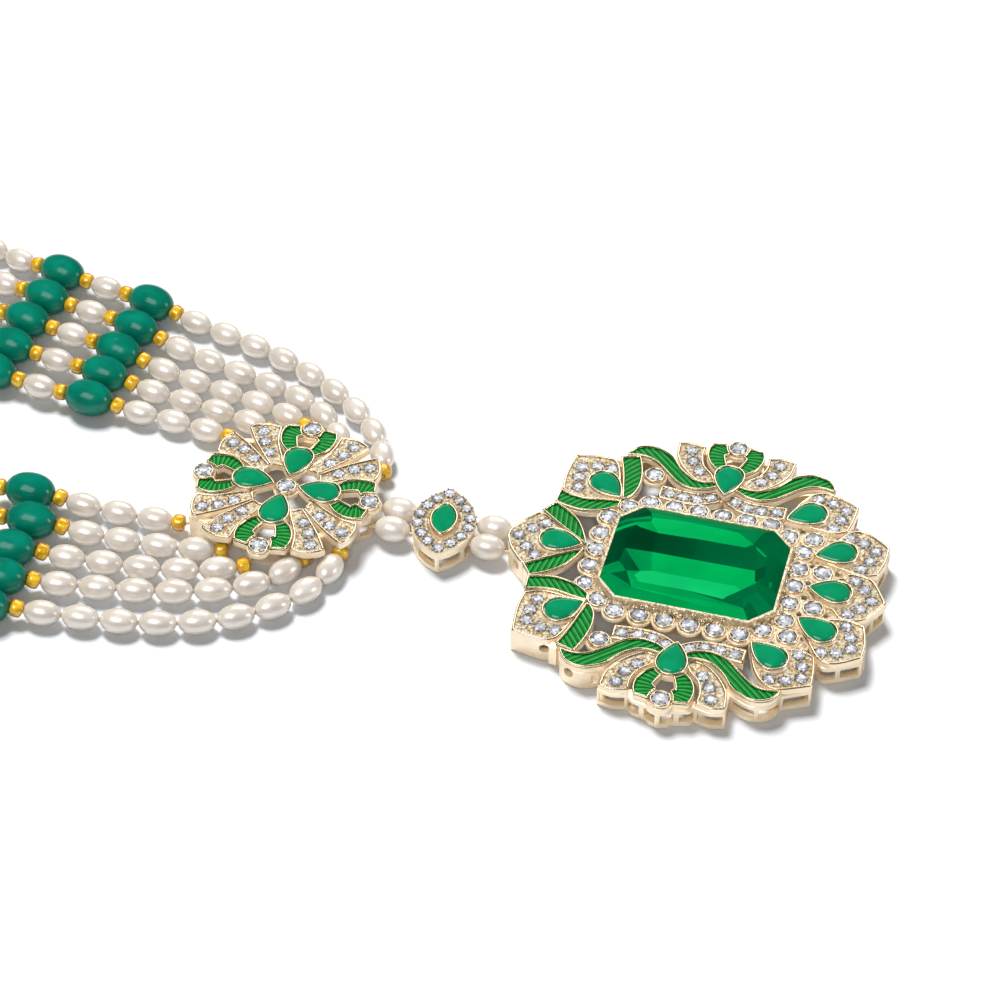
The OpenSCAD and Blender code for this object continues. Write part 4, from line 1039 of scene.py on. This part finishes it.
def raised_plate(shape, ring, low, top, rim=0.24):
    """Sunk grainy field with a raised rim round it."""
    slab(shape, ring, low, top - 0.12, edge=0.1)
    ridge(shape, inset(ring, rim), top - 0.14, rim, 0.3)


def drop_bezel(shape, x, y, angle, top):
    """Double rim round a drop-shaped stone."""
    outer = turned(drop_ring(DROP_LEN + 1.25, DROP_WID + 1.0), angle, x, y)
    rim = turned(drop_ring(DROP_LEN + 0.65, DROP_WID + 0.5), angle, x, y)
    slab(shape, outer, top - 1.3, top - 0.28, edge=0.3, tone=BEZEL_TONE)
    ridge(shape, rim, top - 0.12, *BEZEL_RIM)


def leaf_rim(shape, leaf, low, top):
    """Plate of an enamelled leaf with its smooth rim."""
    ring = leaf_ring(leaf)
    slab(shape, ring, low, top - 0.5, edge=0.1)
    ridge(shape, inset(ring, 0.16), top - 0.12, 0.17, 0.26)


def cut_away(body, cutters, ring):
    """Wall less some closed cutters; away from its outer outline it takes the deeper tone of painted shade
    inside the wall.
    """
    def as_object(shape):
        mesh = bpy.data.meshes.new("cut")
        mesh.from_pydata(shape.points, [], shape.faces)
        piece = bpy.data.objects.new("cut", mesh)
        bpy.context.scene.collection.objects.link(piece)
        return piece

    whole, holes = as_object(body), as_object(cutters)
    cut = whole.modifiers.new("cut", "BOOLEAN")
    cut.operation = "DIFFERENCE"
    cut.solver = "EXACT"
    cut.use_self = True
    cut.object = holes
    mesh = bpy.data.meshes.new_from_object(whole.evaluated_get(bpy.context.evaluated_depsgraph_get()))
    tones = []
    for corner in mesh.vertices:
        depth = min((corner.co.xy - p).length for p in ring)
        tones.append(SIDE_TONE if depth < OUTER_SKIN else INNER_SHADE_TONE)
    out = Shape()
    out.add([v.co for v in mesh.vertices], [tuple(f.vertices) for f in mesh.polygons], tones, smooth=False)
    for piece in (whole, holes):
        old = piece.data
        bpy.data.objects.remove(piece)
        bpy.data.meshes.remove(old)
    bpy.data.meshes.remove(mesh)
    return out


def wall_between(ring, low, high, thick):
    """Upright wall inside an anticlockwise outline, with a soft outer top edge."""
    shape = Shape()
    soft = 0.15
    rings = stepped(ring, ((thick, low), (thick, high), (0.2, high), (0, high - soft), (0, low + soft),
                           (soft, low), (thick, low)))
    skin(shape, rings[::-1], ends=False)
    # The first and the last ring are the same points: weld them so that the body is closed
    n, last = len(ring), len(rings) - 1
    shape.faces = [tuple(i - last * n if i >= last * n else i for i in f) for f in shape.faces]
    shape.points = shape.points[:last * n]
    shape.tones = shape.tones[:last * n]
    return shape


def closed_prism(shape, low_ring, high_ring, tone=FIELD_TONE):
    """Prism with shared corners, as cutting needs them."""
    n = len(low_ring)
    faces = [(k, (k + 1) % n, n + (k + 1) % n, n + k) for k in range(n)]
    faces += [tuple(range(n))[::-1], tuple(range(n, 2 * n))]
    shape.add(low_ring + high_ring, faces, tone, smooth=False)


def block(shape, middle, along_way, length, width, low, high, tone=FIELD_TONE):
    """Upright box with its length along a direction."""
    u = Vector(along_way).normalized()
    v = Vector((-u.y, u.x))
    corners = ((-1, -1), (1, -1), (1, 1), (-1, 1))
    ring = [middle + u * (a * length / 2) + v * (b * width / 2) for a, b in corners]
    closed_prism(shape, at_height(ring, low), at_height(ring, high), tone)


def round_bore(shape, middle, direction, d, length, sides=20):
    """Closed rod for cutting a round hole along a direction."""
    matrix = Matrix.Translation(middle) @ Vector(direction).to_track_quat("Z", "Y").to_matrix().to_4x4()
    ring = circle(0, 0, d, sides)
    low, high = ([matrix @ p for p in at_height(ring, z)] for z in (-length / 2, length / 2))
    closed_prism(shape, low, high)


def windows_along(shape, runs, from_x, low, high):
    """Openings between posts along the runs of an outline that lie right of from_x."""
    for run in runs:
        path = spline(run)
        length = length_of(path)
        count = max(1, round(length / WINDOW_PITCH))
        for k in range(count if length > SHORTEST_RUN else 0):
            middle = along(path, (k + 0.5) / count)
            way = along(path, (k + 0.6) / count) - along(path, (k + 0.4) / count)
            if middle.x > from_x:
                block(shape, middle, way, length / count - POST, CUT_DEPTH, low, high)


# Pendant

def pendant_wall():
    """Side wall under the pendant's edge, with windows and round holes."""
    flower_left = [run for run in OUTLINE if run[0][0] > FLOWER_FROM_X]
    flower_right = [[(2 * FLOWER_X - x, y) for x, y in run[::-1]] for run in flower_left[::-1]]
    upper = OUTLINE + flower_right + OUTLINE_RIGHT
    lower = [mirrored(run) for run in upper[::-1]]
    ring = outline(upper + lower)
    openings = Shape()
    windows_along(openings, upper + lower, WINDOWS_FROM_X, WINDOW_LOW, PENDANT_WINDOW_TOP)
    for x, y, angle in SIDE_HOLES:
        for side in (1, -1):
            a = math.radians(angle)
            round_bore(openings, (x, side * y, SIDE_HOLE_Z), (math.cos(a), side * math.sin(a), 0),
                       SIDE_HOLE_D, SIDE_ROD)
    for y in (LINK_Y, -LINK_Y):
        round_bore(openings, (PENDANT_PORT_X, y, LINK_Z), (1, 0, 0), LINK_PORT_D, LINK_ROD)
    return cut_away(wall_between(ring, 0.0, WALL_TOP, WALL_T), openings, ring)


def flower_frame():
    """Left half of a small flower: the row, the arc, the long leaf and the fan."""
    flower = Shape()
    raised_plate(flower, outline(ROW_PLATE), ROW_LOW, ROW_TOP)
    slab(flower, outline(straight(STRUT)), ROW_LOW, STRUT_TOP)
    raised_plate(flower, outline(ARC_PLATE), PLATE_LOW, ARC_TOP)
    for leaf in FLOWER_LEAVES:
        leaf_rim(flower, leaf, PLATE_LOW, ENAMEL_RIM)
    grains_round(flower, ROW_STONES, ROW_GRAINS)
    grains_round(flower, ARC_STONES, ARC_GRAINS)
    return flower


def half_frame():
    """Upper half of the pendant's casting."""
    half = Shape()
    for runs in (PETAL_UPPER_LEFT, PETAL_RIGHT_1, PETAL_RIGHT_2):
        raised_plate(half, outline(runs), PLATE_LOW, PETAL_TOP)
    holes = [(x, y, SMALL_HOLE_D) for x, y in SMALL_HOLES]
    slab(half, outline(RIGHT_WEB), PLATE_LOW, WEB_TOP, holes=holes)
    slab(half, outline(straight(LEFT_BRIDGE)), PLATE_LOW, BRIDGE_TOP)
    for leaf in LEAVES:
        leaf_rim(half, leaf, PLATE_LOW, ENAMEL_RIM)
    flower = flower_frame()
    half.join(flower)
    half.join(flower, FLIP_FLOWER)
    for names, x, y, angle in DROPS:
        if y > 0:
            drop_bezel(half, x, y, angle, BEZEL_TOP)
    grains_round(half, above_axis(PETAL_STONES), PETAL_GRAINS)
    for x, y in above_axis(HALO + SINGLES):
        cup(half, x, y, CUP_TOP)
    for x, y in SINGLES:
        slab(half, circle(x, y, SINGLE_PLATE_D), PLATE_LOW, PLATE_TOP)
    block(half, *TAB, PLATE_TOP, tone=SIDE_TONE)
    return half


def pendant_frame():
    """The pendant's casting: both halves, the wall, the petals on the long axis and the setting."""
    whole = in_both_halves(half_frame())
    whole.join(pendant_wall())
    for ring in (outline([HALF_RIGHT_AXIS, mirrored(HALF_RIGHT_AXIS)]),
                 outline([HALF_LEFT_AXIS + mirrored(HALF_LEFT_AXIS)[1:]])):
        raised_plate(whole, ring, PLATE_LOW, PETAL_TOP)
    grains_round(whole, on_axis(PETAL_STONES), PETAL_GRAINS)
    for names, x, y, angle in DROPS:
        if y == 0:
            drop_bezel(whole, x, y, angle, BEZEL_TOP)
    for x, y in on_axis(HALO):
        cup(whole, x, y, CUP_TOP)
    setting = [at_height(cut_rect(a, b, c), z) for a, b, c, z in SETTING]
    skin(whole, setting, SETTING_TONE, smooth=False, ends=False)
    for k, (x, y) in enumerate(both_sides(HALO)):
        # plates that overlap differ a little in height
        top = CUP_PLATE_TOP + 0.01 * (k % 4)
        slab(whole, circle(x, y, HALO_PLATE_D), CUP_PLATE_LOW, top, tone=CUP_PLATE_TONE)
    back = cut_rect(STONE_LEN / 2 + 0.6, STONE_WID / 2 + 0.6, STONE_CUT + 0.4)
    skin(whole, [at_height(back, 0.0), at_height(back, PLATE_TOP)], BACK_TONE, smooth=False, ends=False)
    whole.join(setting_grains())
    cap(whole, [at_height(back, 0.0)], BACK_TONE, up=False)
    cap(whole, [setting[-1]], BACK_TONE, up=True)
    cap(whole, [setting[0]], UNDER_TONE, up=False)
    return whole


def setting_grains():
    """Rough grains of metal between the setting's edge and the cups round it."""
    pitch, innermost, outermost, slope, seed = 0.62, -0.1, 0.75, 0.9, 21
    rng = random.Random(seed)
    shape = Shape()
    edge = cut_rect(14.15, 10.65, 3.5)
    edge = edge + edge[:1]
    count = int(length_of(edge) / pitch)
    for k in range(count):
        at = along(edge, (k + rng.uniform(0.1, 0.9)) / count)
        out = rng.uniform(innermost, outermost)
        p = at * (1 + out / at.length)
        height = BEZEL_TOP - out * slope
        grain(shape, p.x, p.y, height, rng.uniform(0.6, 1.1), tone=rng.uniform(0.3, 1.0))
    return shape


def stones(places, z, d, seed):
    """Field of round stones with their girdles at height z."""
    rng = random.Random(seed)
    shape = Shape()
    for x, y in places:
        round_stone(shape, x, y, z, d, rng)
    return shape


def clipped(ring, a, b):
    """Part of an outline on the left of the line from a to b."""
    out = []
    for p, q in sides_of(ring):
        here = (b - a).cross(p - a)
        there = (b - a).cross(q - a)
        if here >= 0:
            out.append(p)
        if (here >= 0) != (there >= 0):
            out.append(p.lerp(q, here / (here - there)))
    return out


def crown_facets():
    """Facets of the crown from above, each with its outline and the height of a place on it."""
    table_z = CROWN[-1][0]
    facets = [(cut_rect(*CROWN[-1][1:]), lambda p: table_z)]
    for outer, inner in zip(CROWN, CROWN[1:]):
        lower, upper = cut_rect(*outer[1:]), cut_rect(*inner[1:])
        for k in range(8):
            after = (k + 1) % 8
            a, b, c = lower[k], lower[after], upper[k]
            n = (b - a).normalized()
            rise = (inner[0] - outer[0]) / abs(n.cross(c - a))
            facets.append(([a, b, upper[after], c],
                           lambda p, a=a, n=n, z=outer[0], rise=rise: z + rise * n.cross(p - a)))
    return facets


def step_cut():
    """Large stone: a stepped body, and each pane of painted reflection and shade laid over the crown's
    facets.
    """
    shape = Shape()
    skin(shape, [at_height(cut_rect(a, b, c), z) for z, a, b, c in PAVILION + CROWN], 0.3, smooth=False)
    facets = crown_facets()
    for layer, (left, right, corners) in enumerate(PANES):
        pane = [Vector(p) for p in corners]
        low_x, high_x = min(p.x for p in pane), max(p.x for p in pane)
        lift = PANE_LIFT + PANE_STEP * layer
        for ring, height in facets:
            part = pane
            for a, b in sides_of(ring):
                part = clipped(part, a, b) if part else part
            if len(part) < 3 or abs(area_of(part)) < 0.01:
                continue
            part = part if area_of(part) > 0 else part[::-1]
            # Facets that slope down towards the near side get painted light on top of their pane's tone.
            slope = max(0.0, height(Vector((0, 0))) - height(Vector((0, -1))))
            tones = [min(1.0, left + (right - left) * (p.x - low_x) / (high_x - low_x) + SLOPE_PAINTED_LIGHT * slope)
                     for p in part]
            facet(shape, [Vector((p.x, p.y, height(p) + lift)) for p in part], tones)
    return shape


def flower_places(places):
    """Places on both sides of the small flowers, in both halves."""
    return both_sides(places + [(2 * FLOWER_X - x, y) for x, y in places])


def drop_shape(x, y, angle, low, side=1):
    """Drop-shaped cabochon; its highest point lies towards the round end."""
    shape = Shape()
    ring = turned(drop_ring(DROP_LEN, DROP_WID), angle, x, y)
    back = math.radians(angle)
    dome(shape, ring, low, DROP_H, (x - 0.5 * math.cos(back), y - 0.5 * math.sin(back)))
    return placed(shape, FLIP_Y if side < 0 else Matrix.Identity(4))


def pendant_enamel():
    """Enamel of all the pendant's leaves."""
    half = Shape()
    for leaf in LEAVES:
        enamel(half, leaf, ENAMEL_Z)
    flower = Shape()
    for leaf in FLOWER_LEAVES:
        enamel(flower, leaf, ENAMEL_Z)
    half.join(flower)
    half.join(flower, FLIP_FLOWER)
    return in_both_halves(half)


finish_piece(pendant_frame(), "pendant_cast", "gold_metal", ["pendant_frame"])
finish_piece(step_cut(), "large_stone_cut", "emerald_stone", ["large_stone"])
finish_piece(stones(both_sides(HALO + SINGLES), CUP_GIRDLES, CUP_STONE, 3), "halo_stones_cut",
             "white_stone", ["halo_stones"])
finish_piece(stones(both_sides(PETAL_STONES), PETAL_GIRDLES, SMALL_STONE, 5), "petal_stones_cut",
             "white_stone", ["petal_stones"])
finish_piece(stones(flower_places(ROW_STONES), ROW_GIRDLES, SMALL_STONE, 7), "row_stones", "white_stone")
finish_piece(stones(flower_places(ARC_STONES), ARC_GIRDLES, SMALL_STONE, 9), "arc_stones", "white_stone")
finish_piece(pendant_enamel(), "pendant_enamel_ribs", "green_enamel", ["pendant_enamel"])
for names, x, y, angle in DROPS:
    for node, side in zip(names, (1, -1)):
        finish_piece(drop_shape(x, y, angle, DROP_LOW, side), node + "_stone", "drop_stone", [node])


# Medallion

def quarter_turns(shape):
    """Four turned copies of an arm, moved to the medallion's place."""
    whole = Shape()
    for k in range(4):
        whole.join(shape, Matrix.Translation((-MEDALLION_X, 0, 0)) @ Matrix.Rotation(k * math.pi / 2, 4, "Z"))
    return whole


def on_medallion(points, quarter):
    """Places on one arm of the medallion, given from its centre along +X."""
    return turned([Vector(p) for p in points], 90 * quarter, -MEDALLION_X, 0)


def medallion_wall():
    """Side wall of the medallion with the holes of the strands and of the links."""
    side, end = MEDALLION_WALL
    ring = outline([side, end + mirrored(end)[1:], mirrored(side)])
    ring = [Vector((p.x - MEDALLION_X, p.y)) for p in ring]
    ports = Shape()
    for pearls, (x, y), way in FAR + NEAR:
        inwards = Vector((x, y)) - Vector(way[0])
        round_bore(ports, (x, y, STRAND_PORT_Z), (inwards.x, inwards.y, 0), STRAND_PORT_D,
                   STRAND_ROD)
    for y in (LINK_Y, -LINK_Y):
        round_bore(ports, (MEDALLION_PORT_X, y, LINK_Z), (1, 0, 0), LINK_PORT_D, LINK_ROD)
        # window in the wall beside the link's hole
        middle, along_wall = Vector((13.9 - MEDALLION_X, 1.25 * y)), (-0.74, 0.28 * y)
        block(ports, middle, along_wall, 2.0, 2.6, 1.0, 3.2)
    return cut_away(wall_between(ring, 0.0, MEDALLION_WALL_TOP, WALL_T), ports, ring)


def medallion_frame():
    """The medallion's casting: four arms, the stone in the middle and the wall."""
    half = Shape()
    leaf_rim(half, ARM_FAN, MEDALLION_CLEAR, MEDALLION_TOP)
    raised_plate(half, outline(MEDALLION_ROW), MEDALLION_ROW_LOW, MEDALLION_ROW_TOP)
    grains_round(half, MEDALLION_ROW_STONES, MEDALLION_ROW_GRAINS)
    arm = in_both_halves(half)
    drop_bezel(arm, ARM_DROP_MID, 0, 180, MEDALLION_BEZEL_TOP)
    slab(arm, circle(ARM_STONE, 0, ARM_PLATE_D), MEDALLION_CLEAR, MEDALLION_FIELD)
    cup(arm, ARM_STONE, 0, MEDALLION_CUP_TOP)
    whole = quarter_turns(arm)
    slab(whole, circle(-MEDALLION_X, 0, CENTRE_PLATE_D), MEDALLION_CLEAR, MEDALLION_FIELD)
    cup(whole, -MEDALLION_X, 0, MEDALLION_CUP_TOP)
    whole.join(medallion_wall())
    return whole


def medallion_enamel():
    """Enamel of the eight fields."""
    arm = Shape()
    enamel(arm, ARM_FAN, MEDALLION_ENAMEL_Z)
    return quarter_turns(in_both_halves(arm))


finish_piece(medallion_frame(), "medallion_cast", "gold_metal", ["medallion_frame"])
finish_piece(medallion_enamel(), "medallion_enamel_ribs", "green_enamel", ["medallion_enamel"])
cross_places = [(-MEDALLION_X, 0)]
cross_places += [(ARM_STONE * c - MEDALLION_X, ARM_STONE * s) for c, s in ((1, 0), (0, 1), (-1, 0), (0, -1))]
finish_piece(stones(cross_places, MEDALLION_GIRDLES, CUP_STONE, 11), "medallion_stones_cut",
             "white_stone", ["medallion_stones"])
row_places = []
for k in range(4):
    for side in (1, -1):
        arm_row = on_medallion([(x, side * y) for x, y in MEDALLION_ROW_STONES], k)
        row_places += [(p.x, p.y) for p in arm_row]
finish_piece(stones(row_places, MEDALLION_ROW_GIRDLES, SMALL_STONE, 13), "medallion_row_stones",
             "white_stone")
for k in range(4):
    mid = on_medallion([(ARM_DROP_MID, 0)], k)[0]
    node = "medallion_drop_%d" % (k + 1)
    stone = drop_shape(mid.x, mid.y, 90 * k + 180, MEDALLION_DROP_LOW)
    finish_piece(stone, node + "_stone", "drop_stone", [node])


# Leaf link

LEAF_PLACE = Matrix.Translation((-LEAF_X, 0, 0)) @ Matrix.Rotation(math.radians(LEAF_TURN), 4, "Z")
leaf_places = []
for x, y in LEAF_STONES:
    leaf_places += [(x, y), (-x, y)] if x else [(x, y), (x, -y)]


def ring_plate(shape, outer, inner, low, high):
    """Flat plate between two outlines."""
    edge = 0.1
    sides = stepped(outer, ((0, low), (0, high - edge), (edge, high)))
    skin(shape, sides, SIDE_TONE, ends=False)
    skin(shape, [at_height(inner, high), at_height(inner, low)], SIDE_TONE, ends=False)
    cap(shape, [sides[-1], at_height(inner, high)], up=True)
    cap(shape, [sides[0], at_height(inner, low)], up=False)


def leaf_frame():
    """The leaf link's casting: plate, wall, the marquise's bezel and a cross that carries it."""
    shape = Shape()
    right = [(x, -y) for x, y in LEAF_EDGE[:0:-1]] + LEAF_EDGE
    ring = outline([right, [(-x, -y) for x, y in right]])
    ring_plate(shape, ring, marquise(*LEAF_OPENING), LEAF_PLATE_LOW, LEAF_PLATE_TOP)
    quarters = [LEAF_EDGE, [(-x, y) for x, y in LEAF_EDGE[::-1]]]
    quarters += [[(-x, -y) for x, y in q] for q in quarters]
    openings = Shape()
    windows_along(openings, quarters, -LEAF_X, WINDOW_LOW, LEAF_WINDOW_TOP)
    shape.join(cut_away(wall_between(ring, 0.0, LEAF_PLATE_LOW + 0.1, LEAF_WALL_T), openings, ring))
    slab(shape, marquise(*LEAF_BEZEL), LEAF_BEZEL_LOW, LEAF_PLATE_TOP, edge=0.3, tone=BEZEL_TONE)
    ridge(shape, marquise(*LEAF_RIM), LEAF_BEZEL_TOP, *BEZEL_RIM)
    skirt = [at_height(marquise(*size), z) for size, z in zip(LEAF_SKIRT, (LEAF_BAR_TOP, LEAF_BEZEL_TOP))]
    skin(shape, skirt, LEAF_BEZEL_TONE, ends=False)
    bar = outline(straight(LEAF_BAR))
    for ring in (bar, [Vector((-p.y, p.x * 1.6)) for p in bar]):
        slab(shape, ring, LEAF_BAR_LOW, LEAF_BAR_TOP)
    grains_round(shape, leaf_places, LEAF_GRAINS, LEAF_SMALL_STONE)
    return shape


finish_piece(placed(leaf_frame(), LEAF_PLACE), "leaf_cast", "gold_metal", ["leaf_frame"])
leaf_white = stones(leaf_places, LEAF_GIRDLES, LEAF_SMALL_STONE, 17)
finish_piece(placed(leaf_white, LEAF_PLACE), "leaf_small_stones", "white_stone")
leaf_green = Shape()
dome(leaf_green, marquise(*LEAF_STONE), LEAF_STONE_LOW, LEAF_STONE_H, (0, 0))
finish_piece(placed(leaf_green, LEAF_PLACE), "leaf_stone_dome", "drop_stone", ["leaf_stone"])


# Beads and strands

def bead_profile(length, width, steps, power):
    """Rounded bead from bore to bore, as (radius, height) pairs. A higher power makes its ends fuller."""
    bore_r = BEAD_BORE / 2
    out = []
    for k in range(steps + 1):
        x = -0.5 * length * math.cos(math.pi * k / steps)
        r = 0.5 * width * max(0.0, 1 - abs(2 * x / length) ** power) ** (1 / power)
        out.append((max(r, bore_r), x))
    return out + [(bore_r, -0.5 * length)]


def bead_between(shape, a, b, length, width, sides, steps, power):
    """Bead threaded from one point to another."""
    way = (b - a).normalized()
    matrix = Matrix.Translation((a + b) / 2) @ way.to_track_quat("Z", "Y").to_matrix().to_4x4()
    lathe(shape, bead_profile(length, width, steps, power)[::-1], matrix, sides)


def way_of(strand, rank, side):
    """The whole way of a strand, with its curve round the back."""
    front = [Vector(p) for p in strand[2]]
    # the third strand lies in the middle of the five
    r = BACK_R + (2 - rank) * BACK_PITCH
    angles = [math.radians(a) for a in BACK_ANGLES]
    back = [Vector((BACK_CENTRE[0] + r * math.cos(a), side * (BACK_CENTRE[1] + r * math.sin(a))))
            for a in angles]
    return spline(front + [front[-1].lerp(back[0], t) for t in BACK_JOIN] + back, steps=6)


def walk(points, distance):
    """Point at a distance along a list of points."""
    for a, b in zip(points, points[1:]):
        step = (b - a).length
        if distance <= step:
            return a.lerp(b, distance / step)
        distance -= step
    return points[-1].copy()


def front_items(count):
    """What a strand's front carries: kind, length on the thread, height of its far end.

    The thread rises from the lying pearls to the green beads and falls again behind them.
    """
    low, high = LYING, GREEN_D / 2 + 0.05
    items = [("seed", SEED_LEN, low)]
    items += [("pearl", PEARL_LEN, low + 0.2 if k == count - 1 else low) for k in range(count)]
    items += [("seed", SEED_LEN, high), ("green", GREEN_LEN, high), ("seed", SEED_LEN, high - 0.15),
              ("pearl", PEARL_LEN, high - 0.15), ("seed", SEED_LEN, high), ("green", GREEN_LEN, high),
              ("seed", SEED_LEN, low + 0.35), ("pearl", PEARL_LEN, low)]
    return items


def thread_along(shape, path):
    """Thread with six sides along a list of points."""
    flat = [Vector((p.x, p.y)) for p in path]
    rings = []
    for p, m in zip(path, ring_normals(flat, closed=False)):
        reach = m * THREAD_R
        rings.append([p + Vector((reach.x * math.cos(a), reach.y * math.cos(a), THREAD_R * math.sin(a)))
                      for a in [k * math.pi / 3 for k in range(6)]])
    skin(shape, rings, ends=False)


def string_strand(strand, rank, side, seeds, back_thread):
    """Beads of one strand, front and back. Gives the front's pearls, its green beads and the back."""
    way = way_of(strand, rank, side)
    beads = {"seed": seeds, "pearl": Shape(), "green": Shape()}
    back = Shape()
    reach, here = 0.0, Vector((way[0].x, way[0].y, LYING))
    for kind, length, height in front_items(strand[0]):
        reach += length + BEAD_GAP
        flat = walk(way, reach)
        there = Vector((flat.x, flat.y, height))
        bead_between(beads[kind], here, there, *BEADS[kind])
        here = there
    left = length_of(way) - reach
    count = round(left / BACK_PEARL_LEN)
    pitch = left / count
    path = [here]
    for k in range(count):
        flat = walk(way, reach + pitch * (k + 1))
        path.append(Vector((flat.x, flat.y, LYING)))
        bead_between(back, path[-2], path[-1], min(pitch - 0.02, BACK_PEARL_LEN), *BACK_PEARL)
    thread_along(back_thread, path)
    return beads["pearl"], beads["green"], back


for label, bundle, side in (("far", FAR, 1), ("near", NEAR, -1)):
    seeds, back_thread = Shape(), Shape()
    for rank, strand in enumerate(bundle):
        name = "%s_%d" % (label, rank + 1)
        pearls, greens, back = string_strand(strand, rank, side, seeds, back_thread)
        finish_piece(pearls, "pearls_" + name, "pearl", ["beads_" + name])
        finish_piece(greens, "green_beads_" + name, "green_bead", ["beads_" + name])
        finish_piece(back, "back_pearls_" + name, "pearl", ["back_" + name])
    finish_piece(seeds, "gold_beads_" + label, "gold_bead")
    finish_piece(back_thread, "back_threads_" + label, "thread")

link_places = [(x, y) for x in LINK_PEARL_X for y in (LINK_PEARL_Y, -LINK_PEARL_Y)]
for k, (x, y) in enumerate(link_places):
    link = Shape()
    ends = [Vector((x + step, y, LINK_Z)) for step in (-LINK_LEN / 2, LINK_LEN / 2)]
    bead_between(link, *ends, *BEADS["link"])
    node = "link_pearl_%d" % (k + 1)
    finish_piece(link, node + "_nacre", "pearl", [node])

for name in ("threads_far", "threads_near", "link_threads"):
    nodes[name].data.materials.clear()
    nodes[name].data.materials.append(LOOKS["thread"])


def clasp_block():
    """Plain slide clasp with soft edges and a rim round its top."""
    shape = Shape()
    ring = [Vector((p.x + BACK_CENTRE[0] - BACK_R, p.y)) for p in cut_rect(CLASP_WID / 2, CLASP_LEN / 2, 2)]
    skin(shape, stepped(ring, CLASP_SIDES), CLASP_TONE, smooth=False)
    border = inset(ring, CLASP_BORDER)
    edges = [a.lerp(b, k / 8) for a, b in sides_of(border) for k in range(8)]
    ridge(shape, edges, CLASP_BORDER_Z, *CLASP_BORDER_RIM)
    return shape


finish_piece(clasp_block(), "clasp_cast", "gold_metal", ["clasp"])


# Floor, light and camera

def floor_material():
    """Matt pale floor."""
    material, tree, surface = new_material("pale_floor", Roughness=0.9)
    colour = mix_colours(tree, drift_of(tree, 6.0), (0.86, 0.885, 0.92), (0.88, 0.905, 0.94))
    tree.links.new(colour, surface.inputs["Base Color"])
    return material


def put_floor():
    """Round floor under the whole necklace."""
    mesh = bpy.data.meshes.new("floor")
    edge = [(p.x + FLOOR_X, p.y, 0) for p in circle(0, 0, 2 * FLOOR_R, FLOOR_SIDES)]
    mesh.from_pydata(edge, [], [tuple(range(FLOOR_SIDES))])
    mesh.materials.append(floor_material())
    floor = bpy.data.objects.new("floor", mesh)
    bpy.context.scene.collection.objects.link(floor)
    return floor


def out_of_reach(name, pieces):
    """Collection of pieces that a light doesn't reach."""
    group = bpy.data.collections.new(name)
    for k, piece in enumerate(pieces):
        group.objects.link(piece)
        group.collection_objects[k].light_linking.link_state = "EXCLUDE"
    return group


def area_light(name, place, size, power, receivers):
    """Soft light towards the necklace. One that lights everything isn't mirrored in it."""
    data = bpy.data.lights.new(name, "AREA")
    data.shape = "RECTANGLE"
    data.size, data.size_y = size
    data.energy = power
    light = bpy.data.objects.new(name, data)
    light.location = place
    light.rotation_euler = (Vector(LIT) - Vector(place)).to_track_quat("-Z", "Y").to_euler()
    light.visible_glossy = receivers is not None
    light.light_linking.receiver_collection = receivers
    bpy.context.scene.collection.objects.link(light)


def put_lights(floor):
    """Lights: the first two light all, the others only the necklace, so that the floor stays even.

    The panel behind it also leaves out the green stones and beads, which would look grey.
    """
    deep = [LOOKS[slot] for slot in ("drop_stone", "green_bead", "emerald_stone")]
    greens = [piece for piece in bpy.data.objects
              if piece.type == "MESH" and piece.data.materials and piece.data.materials[0] in deep]
    off_floor = out_of_reach("all_but_the_floor", [floor])
    off_greens = out_of_reach("all_but_floor_and_greens", [floor] + greens)
    for name, place, size, power, receivers in (
            ("key_softbox", (-0.71, 0.73, 1.85), (0.7, 0.7), 55, None),
            ("fill_by_the_camera", (0.14, -0.70, 0.70), (0.4, 0.4), 2.1, None),
            ("back_panel", (-0.12, 0.85, 0.75), (0.9, 0.6), 5.6, off_greens),
            ("front_softbox", (-0.20, -0.42, 0.60), (0.52, 0.40), 2.7, off_floor),
            ("side_glow", (0.60, 0.02, 0.20), (0.2, 0.25), 0.9, off_floor)):
        area_light(name, place, size, power, receivers)


def put_world():
    """Room that is white to look at past the floor's edge, and dim as a light."""
    world = bpy.data.worlds.new("studio")
    world.use_nodes = True
    tree = world.node_tree
    dim = tree.nodes["Background"]
    dim.inputs["Color"].default_value = (1, 1, 1, 1)
    dim.inputs["Strength"].default_value = ROOM_LIGHT
    seen = add(tree, "ShaderNodeBackground", Color=(1, 1, 1, 1))
    ray = add(tree, "ShaderNodeLightPath")
    either = add(tree, "ShaderNodeMixShader")
    tree.links.new(ray.outputs["Is Camera Ray"], either.inputs["Fac"])
    tree.links.new(dim.outputs["Background"], either.inputs[1])
    tree.links.new(seen.outputs["Background"], either.inputs[2])
    tree.links.new(either.outputs["Shader"], tree.nodes["World Output"].inputs["Surface"])
    bpy.context.scene.world = world
    bpy.context.scene.view_settings.view_transform = "Standard"


def put_camera():
    """Camera of the photo, which looks down at the pendant at 44 degrees."""
    data = bpy.data.cameras.new("camera")
    data.lens = LENS
    data.sensor_width = 36
    data.clip_start = 0.01
    camera = bpy.data.objects.new("camera", data)
    camera.location = LOOK_AT - FORWARD * DISTANCE
    camera.rotation_euler = FORWARD.to_track_quat("-Z", "Y").to_euler()
    bpy.context.scene.collection.objects.link(camera)
    bpy.context.scene.camera = camera


put_lights(put_floor())
put_world()
put_camera()
